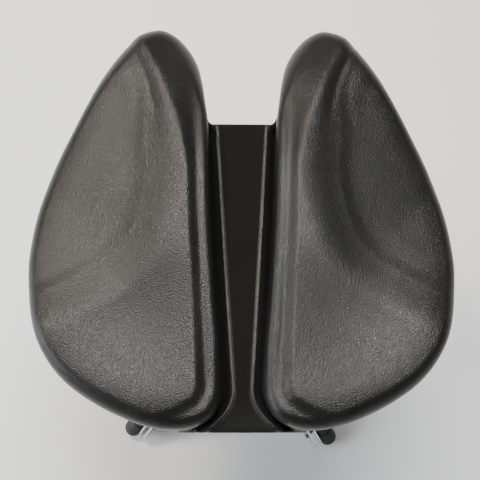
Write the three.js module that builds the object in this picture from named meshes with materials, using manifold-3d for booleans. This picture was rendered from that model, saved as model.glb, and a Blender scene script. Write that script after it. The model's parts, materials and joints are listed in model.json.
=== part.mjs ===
// A drum throne: a moulded two-lobe saddle seat with a relief channel and a front notch,
// on a height-adjustable post and a folding four-leg double-bar base.
// Millimetres, +Z up. The origin is on the floor under the middle of the whole throne,
// and +Y points to the seat's horns.
import * as THREE from 'three';
import { mergeVertices } from 'three/addons/utils/BufferGeometryUtils.js';
import Module from 'manifold-3d';

const wasm = await Module();
wasm.setup();

// ---------------------------------------------------------------- driving dimensions
const SEAT_Y = 5.32;             // the seat's outline is drawn about its own middle
const POST_Y = -60.68;           // the post stands under the sitter's hips, behind the seat's middle
const BASE_TURN = -2.6;          // degrees: the seat swivels, so the base stands a little askew under it
const CLEARANCE = 0.3;           // gap between pieces that touch

// leg linkage
const LEG_FROM_X = 50;           // degrees: two mirrored pairs of legs, with their feet on a square
const LEG_LENGTH = 251;          // upper pivot to the middle of the foot's round end
const BRACE_LENGTH = 92;         // lower pivot to the leg, and upper pivot to the same place on the leg
const HUB_RADIUS = 34;           // pivots' distance from the post's axis
const SPREAD_ANGLE = 45.5;       // degrees between a leg and the vertical when it is open
const BAR_WIDTH = 18;
const BAR_THICKNESS = 3;
const BAR_GAP = 6;
const BRACE_WIDTH = 14;
const BRACE_THICKNESS = 4;
const PIN_RADIUS = 3;
const RIVET_RADIUS = 4;
const HEAD_RADIUS = 5.5;
const HEAD_HEIGHT = 2.2;
const PLAY = 0.35;               // added to a hole's radius for the pin that turns in it
const LUG_PLAY = 0.4;            // on each side of a lug or a brace in its fork
const ROLL_PIN_RADIUS = 2;

// rubber feet
const FOOT_RADIUS = 13.5;
const FOOT_BACK = 58;            // from the foot's round end centre back to its flat end
const FOOT_TREAD = 1;            // how much of the round end is cut flat where it stands
const FOOT_FLANK = 12.6;         // from the foot's axis to the flat that bears on the bar
const FOOT_BOLT_BACK = 30;       // from the foot's round end centre back to its bolt
const BAR_END_BACK = 10.5;       // from the foot's round end centre back to the bars' end centre

// tubes
const TUBE_RADIUS = 15.9;
const TUBE_BORE = 14.3;
const TUBE_BOTTOM = 50;
const TUBE_TOP = 296;
const POST_RADIUS = 12.7;
const POST_BORE = 10.7;
const POST_BOTTOM = 130;
const POST_TOP = 438;

// collars, clamp and seat mount
const COLLAR_RADIUS = 24;
const COLLAR_BORE = TUBE_RADIUS + CLEARANCE;
const COLLAR_HEIGHT = 30;
const LOWER_HUB_HEIGHT = 24;
const LUG_RADIUS = 8;
const CLAMP_RADIUS = 22;
const CLAMP_BOTTOM = 276;
const CLAMP_TOP = 316;
const CLAMP_BOLT_X = 34;
const CLAMP_BOLT_LENGTH = 30;
const EAR_THICKNESS = 21;        // both of the clamp's ears and the split between them
const NUT_THICKNESS = 6.5;
const LOCK_RADIUS = 21;
const LOCK_HEIGHT = 16;
const LOCK_SCREW_X = -28;
const SOCKET_RADIUS = 21;
const SOCKET_BOTTOM = 382;
const PLATE_TOP = 444;
const PLATE_LENGTH = 150;
const PLATE_WIDTH = 112;
const PLATE_THICKNESS = 5.7;
const MOUNT_BOLT_X = 58;
const MOUNT_BOLT_Y = 40;
const SCREW_RADIUS = 4;          // wing bolts
const BOSS_RADIUS = 9;           // of the threaded boss for a wing bolt
const BOSS_REACH = 33;           // from the post's axis to the boss's face
const SEAT_BOLT_RISE = 22;       // of the seat's wing bolt over the socket's bottom

// seat
const PAN_THICKNESS = 11.7;
const FOAM_BOTTOM = 446;
const SEAT_HEIGHT = 520;         // the sitting surface over the sitter's hips
const LOBE_EDGE = 20;            // radius of the lobes' rounded rim
const RIM_RISE = 5;
const BASIN_DEPTH = 7;
const TERRACE_DROP = 20;
const HORN_FALL = 16;

// derived
const spread = THREE.MathUtils.degToRad(SPREAD_ANGLE);
const LEG_PITCH = Math.PI / 2 - spread;
const FOOT_CENTRE_Z = FOOT_RADIUS - FOOT_TREAD;
const UPPER_PIVOT_Z = FOOT_CENTRE_Z + LEG_LENGTH * Math.cos(spread);
const LOWER_PIVOT_Z = UPPER_PIVOT_Z - 2 * BRACE_LENGTH * Math.cos(spread);
const BAR_OUTER = BAR_GAP / 2 + BAR_THICKNESS;
const BOLT_FACE = BOSS_REACH + CLEARANCE;
const EAR_FACE = EAR_THICKNESS / 2 + CLEARANCE;
const CLAMP_BOLT_Z = (CLAMP_BOTTOM + CLAMP_TOP) / 2;

// ---------------------------------------------------------------- materials
const material = (color, roughness, metalness) =>
  new THREE.MeshStandardMaterial({ color, roughness, metalness });
const chrome = material(0xc8cacd, 0.12, 1);
const zincSteel = material(0xa9abad, 0.35, 1);
const blackCasting = material(0x1b1b1c, 0.45, 0.6);
const rubber = material(0x1d1d1d, 0.7, 0);
const nylon = material(0x2a2a2a, 0.55, 0);
const plywood = material(0x2b2118, 0.7, 0);
const seatSkin = material(0x2c2b2a, 0.42, 0);

// ---------------------------------------------------------------- solids
function solid(geometry) {
  const bare = geometry.clone();
  bare.deleteAttribute('normal');
  bare.deleteAttribute('uv');
  const merged = mergeVertices(bare, 1e-3);
  return new wasm.Manifold(new wasm.Mesh({
    numProp: 3,
    vertProperties: merged.attributes.position.array,
    triVerts: new Uint32Array(merged.index.array),
  }));
}

function geometryOf(body) {
  const mesh = body.getMesh();
  const geometry = new THREE.BufferGeometry();
  geometry.setAttribute('position', new THREE.BufferAttribute(mesh.vertProperties, 3));
  geometry.setIndex(new THREE.BufferAttribute(mesh.triVerts, 1));
  geometry.computeVertexNormals();
  return geometry;
}

const joined = (...geometries) => geometries.map(solid).reduce((a, b) => a.add(b));
const cut = (body, ...geometries) => geometries.map(solid).reduce((a, b) => a.subtract(b), body);

// A turned piece about +Z. The profile is a list of [radius, z] that starts and ends on the axis.
function turned(profile, segments = 24) {
  const points = profile.map(([r, z]) => new THREE.Vector2(r, z));
  return new THREE.LatheGeometry(points, segments).rotateX(Math.PI / 2);
}

const rod = (radius, from, to, segments = 12) =>
  turned([[0, from], [radius, from], [radius, to], [0, to]], segments);

// A tube or bush about +Z between two heights.
const ring = (inner, outer, from, to) =>
  turned([[inner, from], [outer, from], [outer, to], [inner, to], [inner, from]]);

// Turns a piece made about +Z to lie about +X or +Y.
const alongX = (geometry) => geometry.rotateY(Math.PI / 2);
const alongY = (geometry) => geometry.rotateX(-Math.PI / 2);

const block = (x, y, z, centre) => new THREE.BoxGeometry(x, y, z).translate(...centre);

// A flat bar with round ends in the XZ plane, from x = from to x = to between end centres,
// and thick along Y about y = middle. holes lists [x, radius].
function flatBar({ from, to, width, thickness, middle = 0, holes = [], ends = 4 }) {
  const r = width / 2;
  const shape = new THREE.Shape();
  shape.absarc(to, 0, r, -Math.PI / 2, Math.PI / 2);
  shape.absarc(from, 0, r, Math.PI / 2, 3 * Math.PI / 2);
  for (const [x, radius] of holes) {
    shape.holes.push(new THREE.Path().absarc(x, 0, radius, 0, 2 * Math.PI));
  }
  return new THREE.ExtrudeGeometry(shape, { depth: thickness, bevelEnabled: false, curveSegments: ends })
    .rotateX(Math.PI / 2)
    .translate(0, middle + thickness / 2, 0);
}

// A rivet or pin about Y with a low domed head on each end, between y = -reach and y = reach.
function headedPin(reach, radius, headRadius) {
  const shoulder = reach + CLEARANCE;
  const end = shoulder + HEAD_HEIGHT;
  return alongY(turned([
    [0, -end], [headRadius - 1, -end], [headRadius, -shoulder], [radius, -shoulder],
    [radius, shoulder], [headRadius, shoulder], [headRadius - 1, end], [0, end],
  ], 12));
}

// A wing bolt about +X: its face bears at x = 0, and its screw reaches to x = -length.
function wingBolt(length) {
  const neck = 13;
  const body = solid(alongX(turned([
    [0, -length], [SCREW_RADIUS - 1, -length], [SCREW_RADIUS, -length + 1.5], [SCREW_RADIUS, 0],
    [8, 0], [8, 2], [6.5, 4], [6.5, neck], [5, neck + 4], [0, neck + 4],
  ], 12)));
  const wings = [1, -1].map((side) => {
    const ear = new THREE.Shape();
    ear.absellipse(neck + 1, side * 15, 6.5, 11.5, 0, 2 * Math.PI, false, -side * 0.35);
    return solid(new THREE.ExtrudeGeometry(ear, { depth: 4.5, bevelEnabled: false, curveSegments: 6 })
      .translate(0, 0, -2.25));
  });
  return geometryOf(body.add(wings[0]).add(wings[1]));
}

// A hexagon nut or bolt head about +Z.
const hexagon = (acrossFlats, from, to) =>
  new THREE.CylinderGeometry(acrossFlats / Math.sqrt(3), acrossFlats / Math.sqrt(3), to - from, 6)
    .rotateX(Math.PI / 2).translate(0, 0, (from + to) / 2);

function piece(name, geometry, look, parent) {
  const mesh = new THREE.Mesh(geometry, look);
  mesh.name = name;
  parent.add(mesh);
  return mesh;
}

// ---------------------------------------------------------------- base: tube and hubs
function mainTube() {
  const tube = solid(ring(TUBE_BORE, TUBE_RADIUS, TUBE_BOTTOM, TUBE_TOP));
  const pinHole = alongX(rod(ROLL_PIN_RADIUS + PLAY, -30, 30, 10)).translate(0, 0, LOWER_PIVOT_Z);
  return geometryOf(cut(tube, pinHole));
}

const tubeEndCap = () => turned([
  [0, TUBE_BOTTOM - 6], [13, TUBE_BOTTOM - 6], [TUBE_RADIUS, TUBE_BOTTOM - 3],
  [TUBE_RADIUS, TUBE_BOTTOM - CLEARANCE], [TUBE_BORE - CLEARANCE, TUBE_BOTTOM - CLEARANCE],
  [TUBE_BORE - CLEARANCE, TUBE_BOTTOM + 5], [0, TUBE_BOTTOM + 5],
]);

// The hub ring of a collar, without its lugs, about z = 0.
function hubRing(height) {
  const top = height / 2;
  return turned([
    [COLLAR_BORE - 2, -top], [COLLAR_RADIUS - 2, -top], [COLLAR_RADIUS, -top + 2],
    [COLLAR_RADIUS, top - 2], [COLLAR_RADIUS - 2, top], [COLLAR_BORE - 2, top], [COLLAR_BORE - 2, -top],
  ]);
}

const collarBore = (height) => rod(COLLAR_BORE, -height, height, 24);

// Anticlockwise from the front right.
const legAzimuths = [LEG_FROM_X, 180 - LEG_FROM_X, 180 + LEG_FROM_X, -LEG_FROM_X]
  .map((degrees) => THREE.MathUtils.degToRad(degrees));

// The sliding collar: one lug between each leg's two bars, and a boss for its wing bolt at the rear.
function legCollar() {
  const lugs = legAzimuths.map((azimuth) => flatBar({
    from: COLLAR_BORE, to: HUB_RADIUS, width: 2 * LUG_RADIUS, thickness: BAR_GAP - 2 * LUG_PLAY,
    holes: [[HUB_RADIUS, PIN_RADIUS + PLAY]],
  }).rotateZ(azimuth));
  const boss = alongX(rod(BOSS_RADIUS, 18, BOSS_REACH, 16)).rotateZ(-Math.PI / 2);
  const screwHole = alongX(rod(SCREW_RADIUS + PLAY, 0, 40)).rotateZ(-Math.PI / 2);
  return geometryOf(cut(joined(hubRing(COLLAR_HEIGHT), ...lugs, boss), collarBore(COLLAR_HEIGHT), screwHole));
}

// The fixed hub: one fork for each brace, pinned to the tube.
function lowerHub() {
  const forks = legAzimuths.map((azimuth) => flatBar({
    from: COLLAR_BORE, to: HUB_RADIUS, width: 2 * LUG_RADIUS, thickness: 2 * BAR_OUTER,
    holes: [[HUB_RADIUS, PIN_RADIUS + PLAY]],
  }).rotateZ(azimuth));
  const slots = legAzimuths.map((azimuth) =>
    block(30, BRACE_THICKNESS + 2 * LUG_PLAY, 40, [COLLAR_RADIUS + 15.5, 0, 0]).rotateZ(azimuth));
  const pinHole = alongX(rod(ROLL_PIN_RADIUS + PLAY, -40, 40, 10));
  return geometryOf(cut(joined(hubRing(LOWER_HUB_HEIGHT), ...forks),
    collarBore(LOWER_HUB_HEIGHT), pinHole, ...slots));
}

const hubRollPin = () => alongX(rod(ROLL_PIN_RADIUS, -COLLAR_RADIUS + 0.5, COLLAR_RADIUS - 0.5, 10));

// ---------------------------------------------------------------- legs and braces
function legBar(middle) {
  return flatBar({
    from: 0, to: LEG_LENGTH - BAR_END_BACK, width: BAR_WIDTH, thickness: BAR_THICKNESS, middle,
    holes: [[0, PIN_RADIUS + PLAY], [BRACE_LENGTH, RIVET_RADIUS + PLAY],
      [LEG_LENGTH - FOOT_BOLT_BACK, PIN_RADIUS + PLAY]],
  });
}

// Half of the rivet at the brace's pivot: its head is outside one bar, and its shank ends flush inside it.
function braceRivet(side) {
  const inner = BAR_GAP / 2;
  const face = BAR_OUTER + CLEARANCE;
  const half = turned([
    [0, inner], [RIVET_RADIUS, inner], [RIVET_RADIUS, face], [6.5, face],
    [5.5, face + HEAD_HEIGHT], [0, face + HEAD_HEIGHT],
  ], 12);
  return alongY(half).rotateZ(side > 0 ? 0 : Math.PI);
}

// The rubber foot lies beside the bars on their outboard side, along the leg, with its round end down.
function foot(side) {
  const dome = [0, 20, 40, 60].map((degrees) => {
    const a = THREE.MathUtils.degToRad(degrees);
    return [FOOT_RADIUS * Math.cos(a), FOOT_RADIUS * Math.sin(a)];
  });
  const body = turned([
    [0, -FOOT_BACK], [10, -FOOT_BACK], [12.3, -FOOT_BACK + 3], [12.9, -22], [12, -20], [13.1, -17],
    ...dome, [0, FOOT_RADIUS],
  ], 18);
  const y = side * (BAR_OUTER + CLEARANCE + FOOT_FLANK);
  const placed = solid(alongX(body).translate(LEG_LENGTH, y, 0));
  const flank = block(120, 20, 60, [LEG_LENGTH - 20, y - side * (FOOT_FLANK + 10), 0]);
  const boltHole = alongY(rod(PIN_RADIUS + PLAY, 0, BAR_OUTER + 16, 12))
    .rotateZ(side > 0 ? 0 : Math.PI).translate(LEG_LENGTH - FOOT_BOLT_BACK, 0, 0);
  const floor = block(120, 120, 40, [0, y, -FOOT_CENTRE_Z - 20])
    .rotateY(-LEG_PITCH).translate(LEG_LENGTH, 0, 0);
  return geometryOf(cut(placed, flank, boltHole, floor));
}

function footBolt(side) {
  const face = BAR_OUTER + CLEARANCE;
  const bolt = joined(hexagon(10, -face - 4, -face), rod(PIN_RADIUS, -face - 1, face + 13, 12));
  return alongY(geometryOf(bolt)).rotateZ(side > 0 ? 0 : Math.PI)
    .translate(LEG_LENGTH - FOOT_BOLT_BACK, 0, 0);
}

function brace() {
  const bar = flatBar({
    from: 0, to: BRACE_LENGTH, width: BRACE_WIDTH, thickness: BRACE_THICKNESS,
    holes: [[0, PIN_RADIUS + PLAY]],
  });
  const reach = BAR_GAP / 2 - CLEARANCE;
  const boss = alongY(rod(5.5, -reach, reach, 16)).translate(BRACE_LENGTH, 0, 0);
  return geometryOf(joined(bar, boss));
}

// Legs are numbered anticlockwise from the front right. Each foot is on the side away from the middle.
function addLeg(base, azimuth, index) {
  const name = `leg_${index + 1}`;
  const side = index % 2 === 0 ? -1 : 1;
  const spoke = new THREE.Group();
  spoke.rotation.z = azimuth;
  const leg = new THREE.Group();
  leg.position.set(HUB_RADIUS, 0, UPPER_PIVOT_Z);
  leg.rotation.y = LEG_PITCH;
  piece(`${name}_bar_left`, legBar(BAR_OUTER - BAR_THICKNESS / 2), chrome, leg);
  piece(`${name}_bar_right`, legBar(-BAR_OUTER + BAR_THICKNESS / 2), chrome, leg);
  piece(`${name}_pivot_pin`, headedPin(BAR_OUTER, PIN_RADIUS, HEAD_RADIUS), zincSteel, leg);
  for (const [word, way] of [['left', 1], ['right', -1]]) {
    const rivet = piece(`${name}_rivet_${word}`, braceRivet(way), zincSteel, leg);
    rivet.position.x = BRACE_LENGTH;
  }
  piece(`foot_${index + 1}`, foot(side), rubber, leg);
  piece(`foot_${index + 1}_bolt`, footBolt(side), zincSteel, leg);
  const strut = new THREE.Group();
  strut.position.set(HUB_RADIUS, 0, LOWER_PIVOT_Z);
  strut.rotation.y = -LEG_PITCH;
  piece(`brace_${index + 1}`, brace(), chrome, strut);
  piece(`brace_${index + 1}_pin`, headedPin(BAR_OUTER, PIN_RADIUS, HEAD_RADIUS), zincSteel, strut);
  spoke.add(leg, strut);
  base.add(spoke);
}

// ---------------------------------------------------------------- height clamp and post
function heightClamp() {
  const shell = turned([
    [10, CLAMP_BOTTOM], [CLAMP_RADIUS - 2, CLAMP_BOTTOM], [CLAMP_RADIUS, CLAMP_BOTTOM + 2],
    [CLAMP_RADIUS, CLAMP_TOP - 3], [CLAMP_RADIUS - 3, CLAMP_TOP], [10, CLAMP_TOP], [10, CLAMP_BOTTOM],
  ]);
  const ears = flatBar({ from: 16, to: CLAMP_BOLT_X, width: 26, thickness: EAR_THICKNESS })
    .translate(0, 0, CLAMP_BOLT_Z);
  const tubeSeat = rod(COLLAR_BORE, CLAMP_BOTTOM - 5, TUBE_TOP + 3.5, 24);
  const postHole = rod(POST_RADIUS + PLAY, CLAMP_BOTTOM, CLAMP_TOP + 5, 24);
  const split = block(60, 3, 60, [30, 0, CLAMP_BOLT_Z]);
  const boltHole = alongY(rod(SCREW_RADIUS + PLAY, -30, 30)).translate(CLAMP_BOLT_X, 0, CLAMP_BOLT_Z);
  return geometryOf(cut(joined(shell, ears), tubeSeat, postHole, split, boltHole));
}

const clampBushing = () => turned([
  [POST_RADIUS + CLEARANCE, TUBE_TOP - 34], [TUBE_BORE - CLEARANCE, TUBE_TOP - 34],
  [TUBE_BORE - CLEARANCE, TUBE_TOP + CLEARANCE], [TUBE_RADIUS, TUBE_TOP + CLEARANCE],
  [TUBE_RADIUS, TUBE_TOP + 3], [POST_RADIUS + CLEARANCE, TUBE_TOP + 3],
  [POST_RADIUS + CLEARANCE, TUBE_TOP - 34],
]);

function clampNut() {
  const nut = cut(solid(hexagon(13, 0, NUT_THICKNESS)), rod(SCREW_RADIUS + PLAY, -1, 8));
  return alongY(geometryOf(nut));
}

const postTube = () => ring(POST_BORE, POST_RADIUS, POST_BOTTOM, POST_TOP);

const postPlug = () => turned([
  [0, POST_BOTTOM - 8], [12.5, POST_BOTTOM - 8], [TUBE_BORE - CLEARANCE, POST_BOTTOM - 6.5],
  [TUBE_BORE - CLEARANCE, POST_BOTTOM - CLEARANCE], [POST_BORE - CLEARANCE, POST_BOTTOM - CLEARANCE],
  [POST_BORE - CLEARANCE, POST_BOTTOM + 15], [0, POST_BOTTOM + 15],
]);

function memoryLock() {
  const bottom = CLAMP_TOP + CLEARANCE;
  const top = bottom + LOCK_HEIGHT;
  const middle = (bottom + top) / 2;
  const collar = turned([
    [10, bottom], [LOCK_RADIUS, bottom], [LOCK_RADIUS, top - 2], [LOCK_RADIUS - 2, top],
    [10, top], [10, bottom],
  ]);
  const ears = flatBar({ from: LOCK_SCREW_X, to: -16, width: LOCK_HEIGHT - 2, thickness: 17 })
    .translate(0, 0, middle);
  const bore = rod(POST_RADIUS + CLEARANCE, bottom - 5, top + 5, 24);
  const split = block(60, 2.4, 60, [-30, 0, middle]);
  const screwHole = alongY(rod(PIN_RADIUS + PLAY, -20, 20, 12)).translate(LOCK_SCREW_X, 0, middle);
  return geometryOf(cut(joined(collar, ears), bore, split, screwHole));
}

function lockScrew() {
  const head = block(6, 6, 7, [0, 0, -12.4]);
  return alongY(geometryOf(joined(head, rod(5, -10.4, -8.9, 16), rod(PIN_RADIUS, -9.5, 10, 12))));
}

// ---------------------------------------------------------------- seat mount
function seatMount() {
  const plateBottom = PLATE_TOP - PLATE_THICKNESS;
  const corner = 14;
  const outline = new THREE.Shape();
  const [x, y] = [PLATE_LENGTH / 2 - corner, PLATE_WIDTH / 2 - corner];
  outline.absarc(x, -y, corner, -Math.PI / 2, 0);
  outline.absarc(x, y, corner, 0, Math.PI / 2);
  outline.absarc(-x, y, corner, Math.PI / 2, Math.PI);
  outline.absarc(-x, -y, corner, Math.PI, 3 * Math.PI / 2);
  for (const [sx, sy] of [[1, 1], [-1, 1], [-1, -1], [1, -1]]) {
    outline.holes.push(new THREE.Path()
      .absarc(sx * MOUNT_BOLT_X, sy * MOUNT_BOLT_Y, PIN_RADIUS + PLAY, 0, 2 * Math.PI));
  }
  const plate = new THREE.ExtrudeGeometry(outline,
    { depth: PLATE_THICKNESS, bevelEnabled: false, curveSegments: 6 }).translate(0, 0, plateBottom);
  const socket = turned([
    [0, SOCKET_BOTTOM], [SOCKET_RADIUS - 2, SOCKET_BOTTOM], [SOCKET_RADIUS, SOCKET_BOTTOM + 2],
    [SOCKET_RADIUS, plateBottom - 6], [SOCKET_RADIUS + 6, plateBottom + 1], [0, plateBottom + 1],
  ]);
  const rib = new THREE.Shape([
    new THREE.Vector2(18, plateBottom + 1), new THREE.Vector2(18, SOCKET_BOTTOM + 12),
    new THREE.Vector2(SOCKET_RADIUS, SOCKET_BOTTOM + 12), new THREE.Vector2(64, plateBottom - 2),
    new THREE.Vector2(64, plateBottom + 1),
  ]);
  const ribs = [0, 1, 2, 3].map((quarter) => {
    const way = quarter % 2 === 0 ? 32 : 148;
    return new THREE.ExtrudeGeometry(rib, { depth: 5, bevelEnabled: false })
      .translate(0, 0, -2.5).rotateX(Math.PI / 2)
      .rotateZ(THREE.MathUtils.degToRad(way + (quarter > 1 ? 180 : 0)));
  });
  const boss = alongX(rod(BOSS_RADIUS, 16, BOSS_REACH, 16)).rotateZ(-Math.PI / 2)
    .translate(0, 0, SOCKET_BOTTOM + SEAT_BOLT_RISE);
  const screwHole = alongX(rod(SCREW_RADIUS + PLAY, 5, 40)).rotateZ(-Math.PI / 2)
    .translate(0, 0, SOCKET_BOTTOM + SEAT_BOLT_RISE);
  const postSeat = rod(POST_RADIUS + CLEARANCE, SOCKET_BOTTOM - 5, POST_TOP + CLEARANCE, 24);
  return geometryOf(cut(joined(plate, socket, ...ribs, boss), postSeat, screwHole));
}

function mountBolt() {
  const plateBottom = PLATE_TOP - PLATE_THICKNESS;
  return geometryOf(joined(hexagon(10, plateBottom - 4.3, plateBottom - CLEARANCE),
    rod(6, plateBottom - 1.6, plateBottom - CLEARANCE, 16),
    rod(PIN_RADIUS, plateBottom - 2, PLATE_TOP + 10, 12)));
}

// ---------------------------------------------------------------- seat
// Half of each outline, x >= 0, from the rear middle round to the notch; the other half is its mirror.
const LOBE_OUTLINE = [
  [50, -230.6], [88, -229], [119, -220.5], [152.5, -203], [182.5, -181], [203.5, -154], [217, -122],
  [225.5, -84], [228.5, -45], [221.5, 7], [201.5, 69], [171, 143.5], [149.5, 184.5], [128, 217],
  [103, 229.5], [80, 223.5], [60.5, 205], [50, 184], [44.5, 159], [41, 134], [37.5, 105], [36.2, 60],
  [36.2, 3], [33.2, -52], [29.6, -101], [26.6, -150], [25.7, -190], [30, -208], [38, -222],
];
const PAN_OUTLINE = [
  [0, -205], [60, -208], [112, -198], [166, -166], [203, -110], [212, -52], [204, 10],
  [162, 112], [128, 178], [100, 200], [78, 190], [60, 150], [54, 104], [38, 90], [0, 90],
];
const LOBE_CENTRE = [112, -30];
const WEB_FRONT = 118.5;
const WEB_REAR = -229;
const WEB_HALF_WIDTH = 44;

const smooth = THREE.MathUtils.smoothstep;

// Height of the sitting surface over (x, y): a shallow basin for the hips with a raised rear rim, a
// lower terrace outside and ahead of it for each thigh, and horns that fall away to the front.
function seatTop(x, y) {
  const across = Math.abs(x);
  const terrace = 1 - smooth(Math.hypot((across - 230) / 147, (y - 120) / 210), 0.82, 1.22);
  return SEAT_HEIGHT
    + RIM_RISE * smooth(-y, 140, 215)
    - BASIN_DEPTH * (1 - smooth(Math.hypot(across - 120, y + 115), 0, 95))
    - TERRACE_DROP * terrace
    - HORN_FALL * smooth(y, 20, 240);
}

// One lobe as rings that shrink towards its centre: under side, wall, rounded rim and top.
function lobe(side) {
  const outline = new THREE.CatmullRomCurve3(
    LOBE_OUTLINE.map(([x, y]) => new THREE.Vector3(x, y, 0)), true, 'centripetal').getSpacedPoints(64);
  outline.pop();
  const [cx, cy] = LOBE_CENTRE;
  const rim = [0, 30, 60, 90].map((degrees) => {
    const a = THREE.MathUtils.degToRad(degrees);
    return { inset: LOBE_EDGE * (1 - Math.cos(a)), drop: LOBE_EDGE * (1 - Math.sin(a)) };
  });
  const rings = [
    { inset: 7, level: FOAM_BOTTOM }, { inset: 1.5, level: FOAM_BOTTOM + 5 },
    ...rim, { share: 0.62 }, { share: 0.36 }, { share: 0.15 },
  ];
  const points = [cx, cy, FOAM_BOTTOM];
  for (const { inset, share, level, drop = 0 } of rings) {
    for (const p of outline) {
      const reach = Math.hypot(p.x - cx, p.y - cy);
      const s = share ?? 1 - inset / reach;
      const [x, y] = [cx + s * (p.x - cx), cy + s * (p.y - cy)];
      points.push(x, y, level ?? seatTop(x, y) - drop);
    }
  }
  points.push(cx, cy, seatTop(cx, cy));
  const n = outline.length;
  const last = points.length / 3 - 1;
  const faces = [];
  for (let i = 0; i < n; i++) {
    const j = (i + 1) % n;
    faces.push(0, 1 + j, 1 + i, last, 1 + (rings.length - 1) * n + i, 1 + (rings.length - 1) * n + j);
    for (let k = 0; k < rings.length - 1; k++) {
      const [a, b, c, d] = [1 + k * n + i, 1 + k * n + j, 1 + (k + 1) * n + j, 1 + (k + 1) * n + i];
      faces.push(a, b, c, a, c, d);
    }
  }
  const geometry = new THREE.BufferGeometry();
  geometry.setAttribute('position', new THREE.Float32BufferAttribute(points, 3));
  geometry.setIndex(faces);
  if (side < 0) {
    geometry.rotateZ(Math.PI);
    geometry.scale(1, -1, 1);
    geometry.setIndex(faces.flatMap((_, i) => (i % 3 === 0 ? [faces[i], faces[i + 2], faces[i + 1]] : [])));
  }
  return geometry;
}

// The floor of the relief channel between the lobes, falling to the front.
function web() {
  const profile = new THREE.Shape([
    [WEB_REAR + 7, FOAM_BOTTOM], [WEB_FRONT - 5, FOAM_BOTTOM], [WEB_FRONT, FOAM_BOTTOM + 6],
    [WEB_FRONT, FOAM_BOTTOM + 15], [WEB_FRONT - 5, FOAM_BOTTOM + 20], [-40, FOAM_BOTTOM + 30],
    [-170, FOAM_BOTTOM + 46], [WEB_REAR + 18, FOAM_BOTTOM + 48], [WEB_REAR + 5, FOAM_BOTTOM + 40],
    [WEB_REAR, FOAM_BOTTOM + 26], [WEB_REAR, FOAM_BOTTOM + 8],
  ].map(([y, z]) => new THREE.Vector2(y, z)));
  return new THREE.ExtrudeGeometry(profile, { depth: 2 * WEB_HALF_WIDTH, bevelEnabled: false })
    .rotateX(Math.PI / 2).rotateZ(Math.PI / 2).translate(-WEB_HALF_WIDTH, 0, 0);
}

// The pan's shape, grown by a margin on every side.
function panShape(margin) {
  const half = PAN_OUTLINE.map(([x, y]) => new THREE.Vector3(x, y, 0));
  const mirrored = half.slice(1, -1).reverse().map((p) => new THREE.Vector3(-p.x, p.y, 0));
  const points = new THREE.CatmullRomCurve3([...half, ...mirrored], true, 'centripetal').getSpacedPoints(90);
  points.pop();
  return new THREE.Shape(points.map((p, i) => {
    const before = points[(i + points.length - 1) % points.length];
    const after = points[(i + 1) % points.length];
    const along = new THREE.Vector2(after.x - before.x, after.y - before.y).normalize();
    return new THREE.Vector2(p.x + margin * along.y, p.y - margin * along.x);
  }));
}

function seatPan() {
  const shape = panShape(0);
  for (const sx of [1, -1]) {
    for (const sy of [1, -1]) {
      shape.holes.push(new THREE.Path()
        .absarc(sx * MOUNT_BOLT_X, POST_Y - SEAT_Y + sy * MOUNT_BOLT_Y, PIN_RADIUS + PLAY, 0, 2 * Math.PI));
    }
  }
  return new THREE.ExtrudeGeometry(shape, { depth: PAN_THICKNESS, bevelEnabled: false, curveSegments: 6 })
    .translate(0, 0, PLATE_TOP + CLEARANCE);
}

function seatCushion() {
  const recess = new THREE.ExtrudeGeometry(panShape(0.6), { depth: 40, bevelEnabled: false })
    .translate(0, 0, PLATE_TOP + 2 * CLEARANCE + PAN_THICKNESS - 40);
  return geometryOf(cut(joined(lobe(1), lobe(-1), web()), recess));
}

// ---------------------------------------------------------------- assembly
const throne = new THREE.Group();
const base = new THREE.Group();
base.position.y = POST_Y;
base.rotation.z = THREE.MathUtils.degToRad(BASE_TURN);
const mount = new THREE.Group();
mount.position.y = POST_Y;
const seat = new THREE.Group();
seat.position.y = SEAT_Y;
throne.add(base, mount, seat);

piece('main_tube', mainTube(), chrome, base);
piece('tube_end_cap', tubeEndCap(), nylon, base);
piece('lower_hub', lowerHub(), blackCasting, base).position.z = LOWER_PIVOT_Z;
piece('hub_roll_pin', hubRollPin(), zincSteel, base).position.z = LOWER_PIVOT_Z;
piece('leg_collar', legCollar(), blackCasting, base).position.z = UPPER_PIVOT_Z;
const collarBolt = piece('collar_wing_bolt', wingBolt(BOLT_FACE - COLLAR_BORE), zincSteel, base);
collarBolt.position.set(0, -BOLT_FACE, UPPER_PIVOT_Z);
collarBolt.rotation.z = -Math.PI / 2;
legAzimuths.forEach((azimuth, index) => addLeg(base, azimuth, index));

piece('height_clamp', heightClamp(), blackCasting, base);
piece('clamp_bushing', clampBushing(), nylon, base);
piece('clamp_nut', clampNut(), zincSteel, base)
  .position.set(CLAMP_BOLT_X, -EAR_FACE - NUT_THICKNESS, CLAMP_BOLT_Z);
const heightBolt = piece('height_wing_bolt', wingBolt(CLAMP_BOLT_LENGTH), zincSteel, base);
heightBolt.position.set(CLAMP_BOLT_X, EAR_FACE, CLAMP_BOLT_Z);
heightBolt.rotation.z = Math.PI / 2;

piece('post_tube', postTube(), chrome, base);
piece('post_plug', postPlug(), nylon, base);
piece('memory_lock', memoryLock(), blackCasting, base);
piece('lock_screw', lockScrew(), zincSteel, base)
  .position.set(LOCK_SCREW_X, 0, CLAMP_TOP + CLEARANCE + LOCK_HEIGHT / 2);

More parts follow.
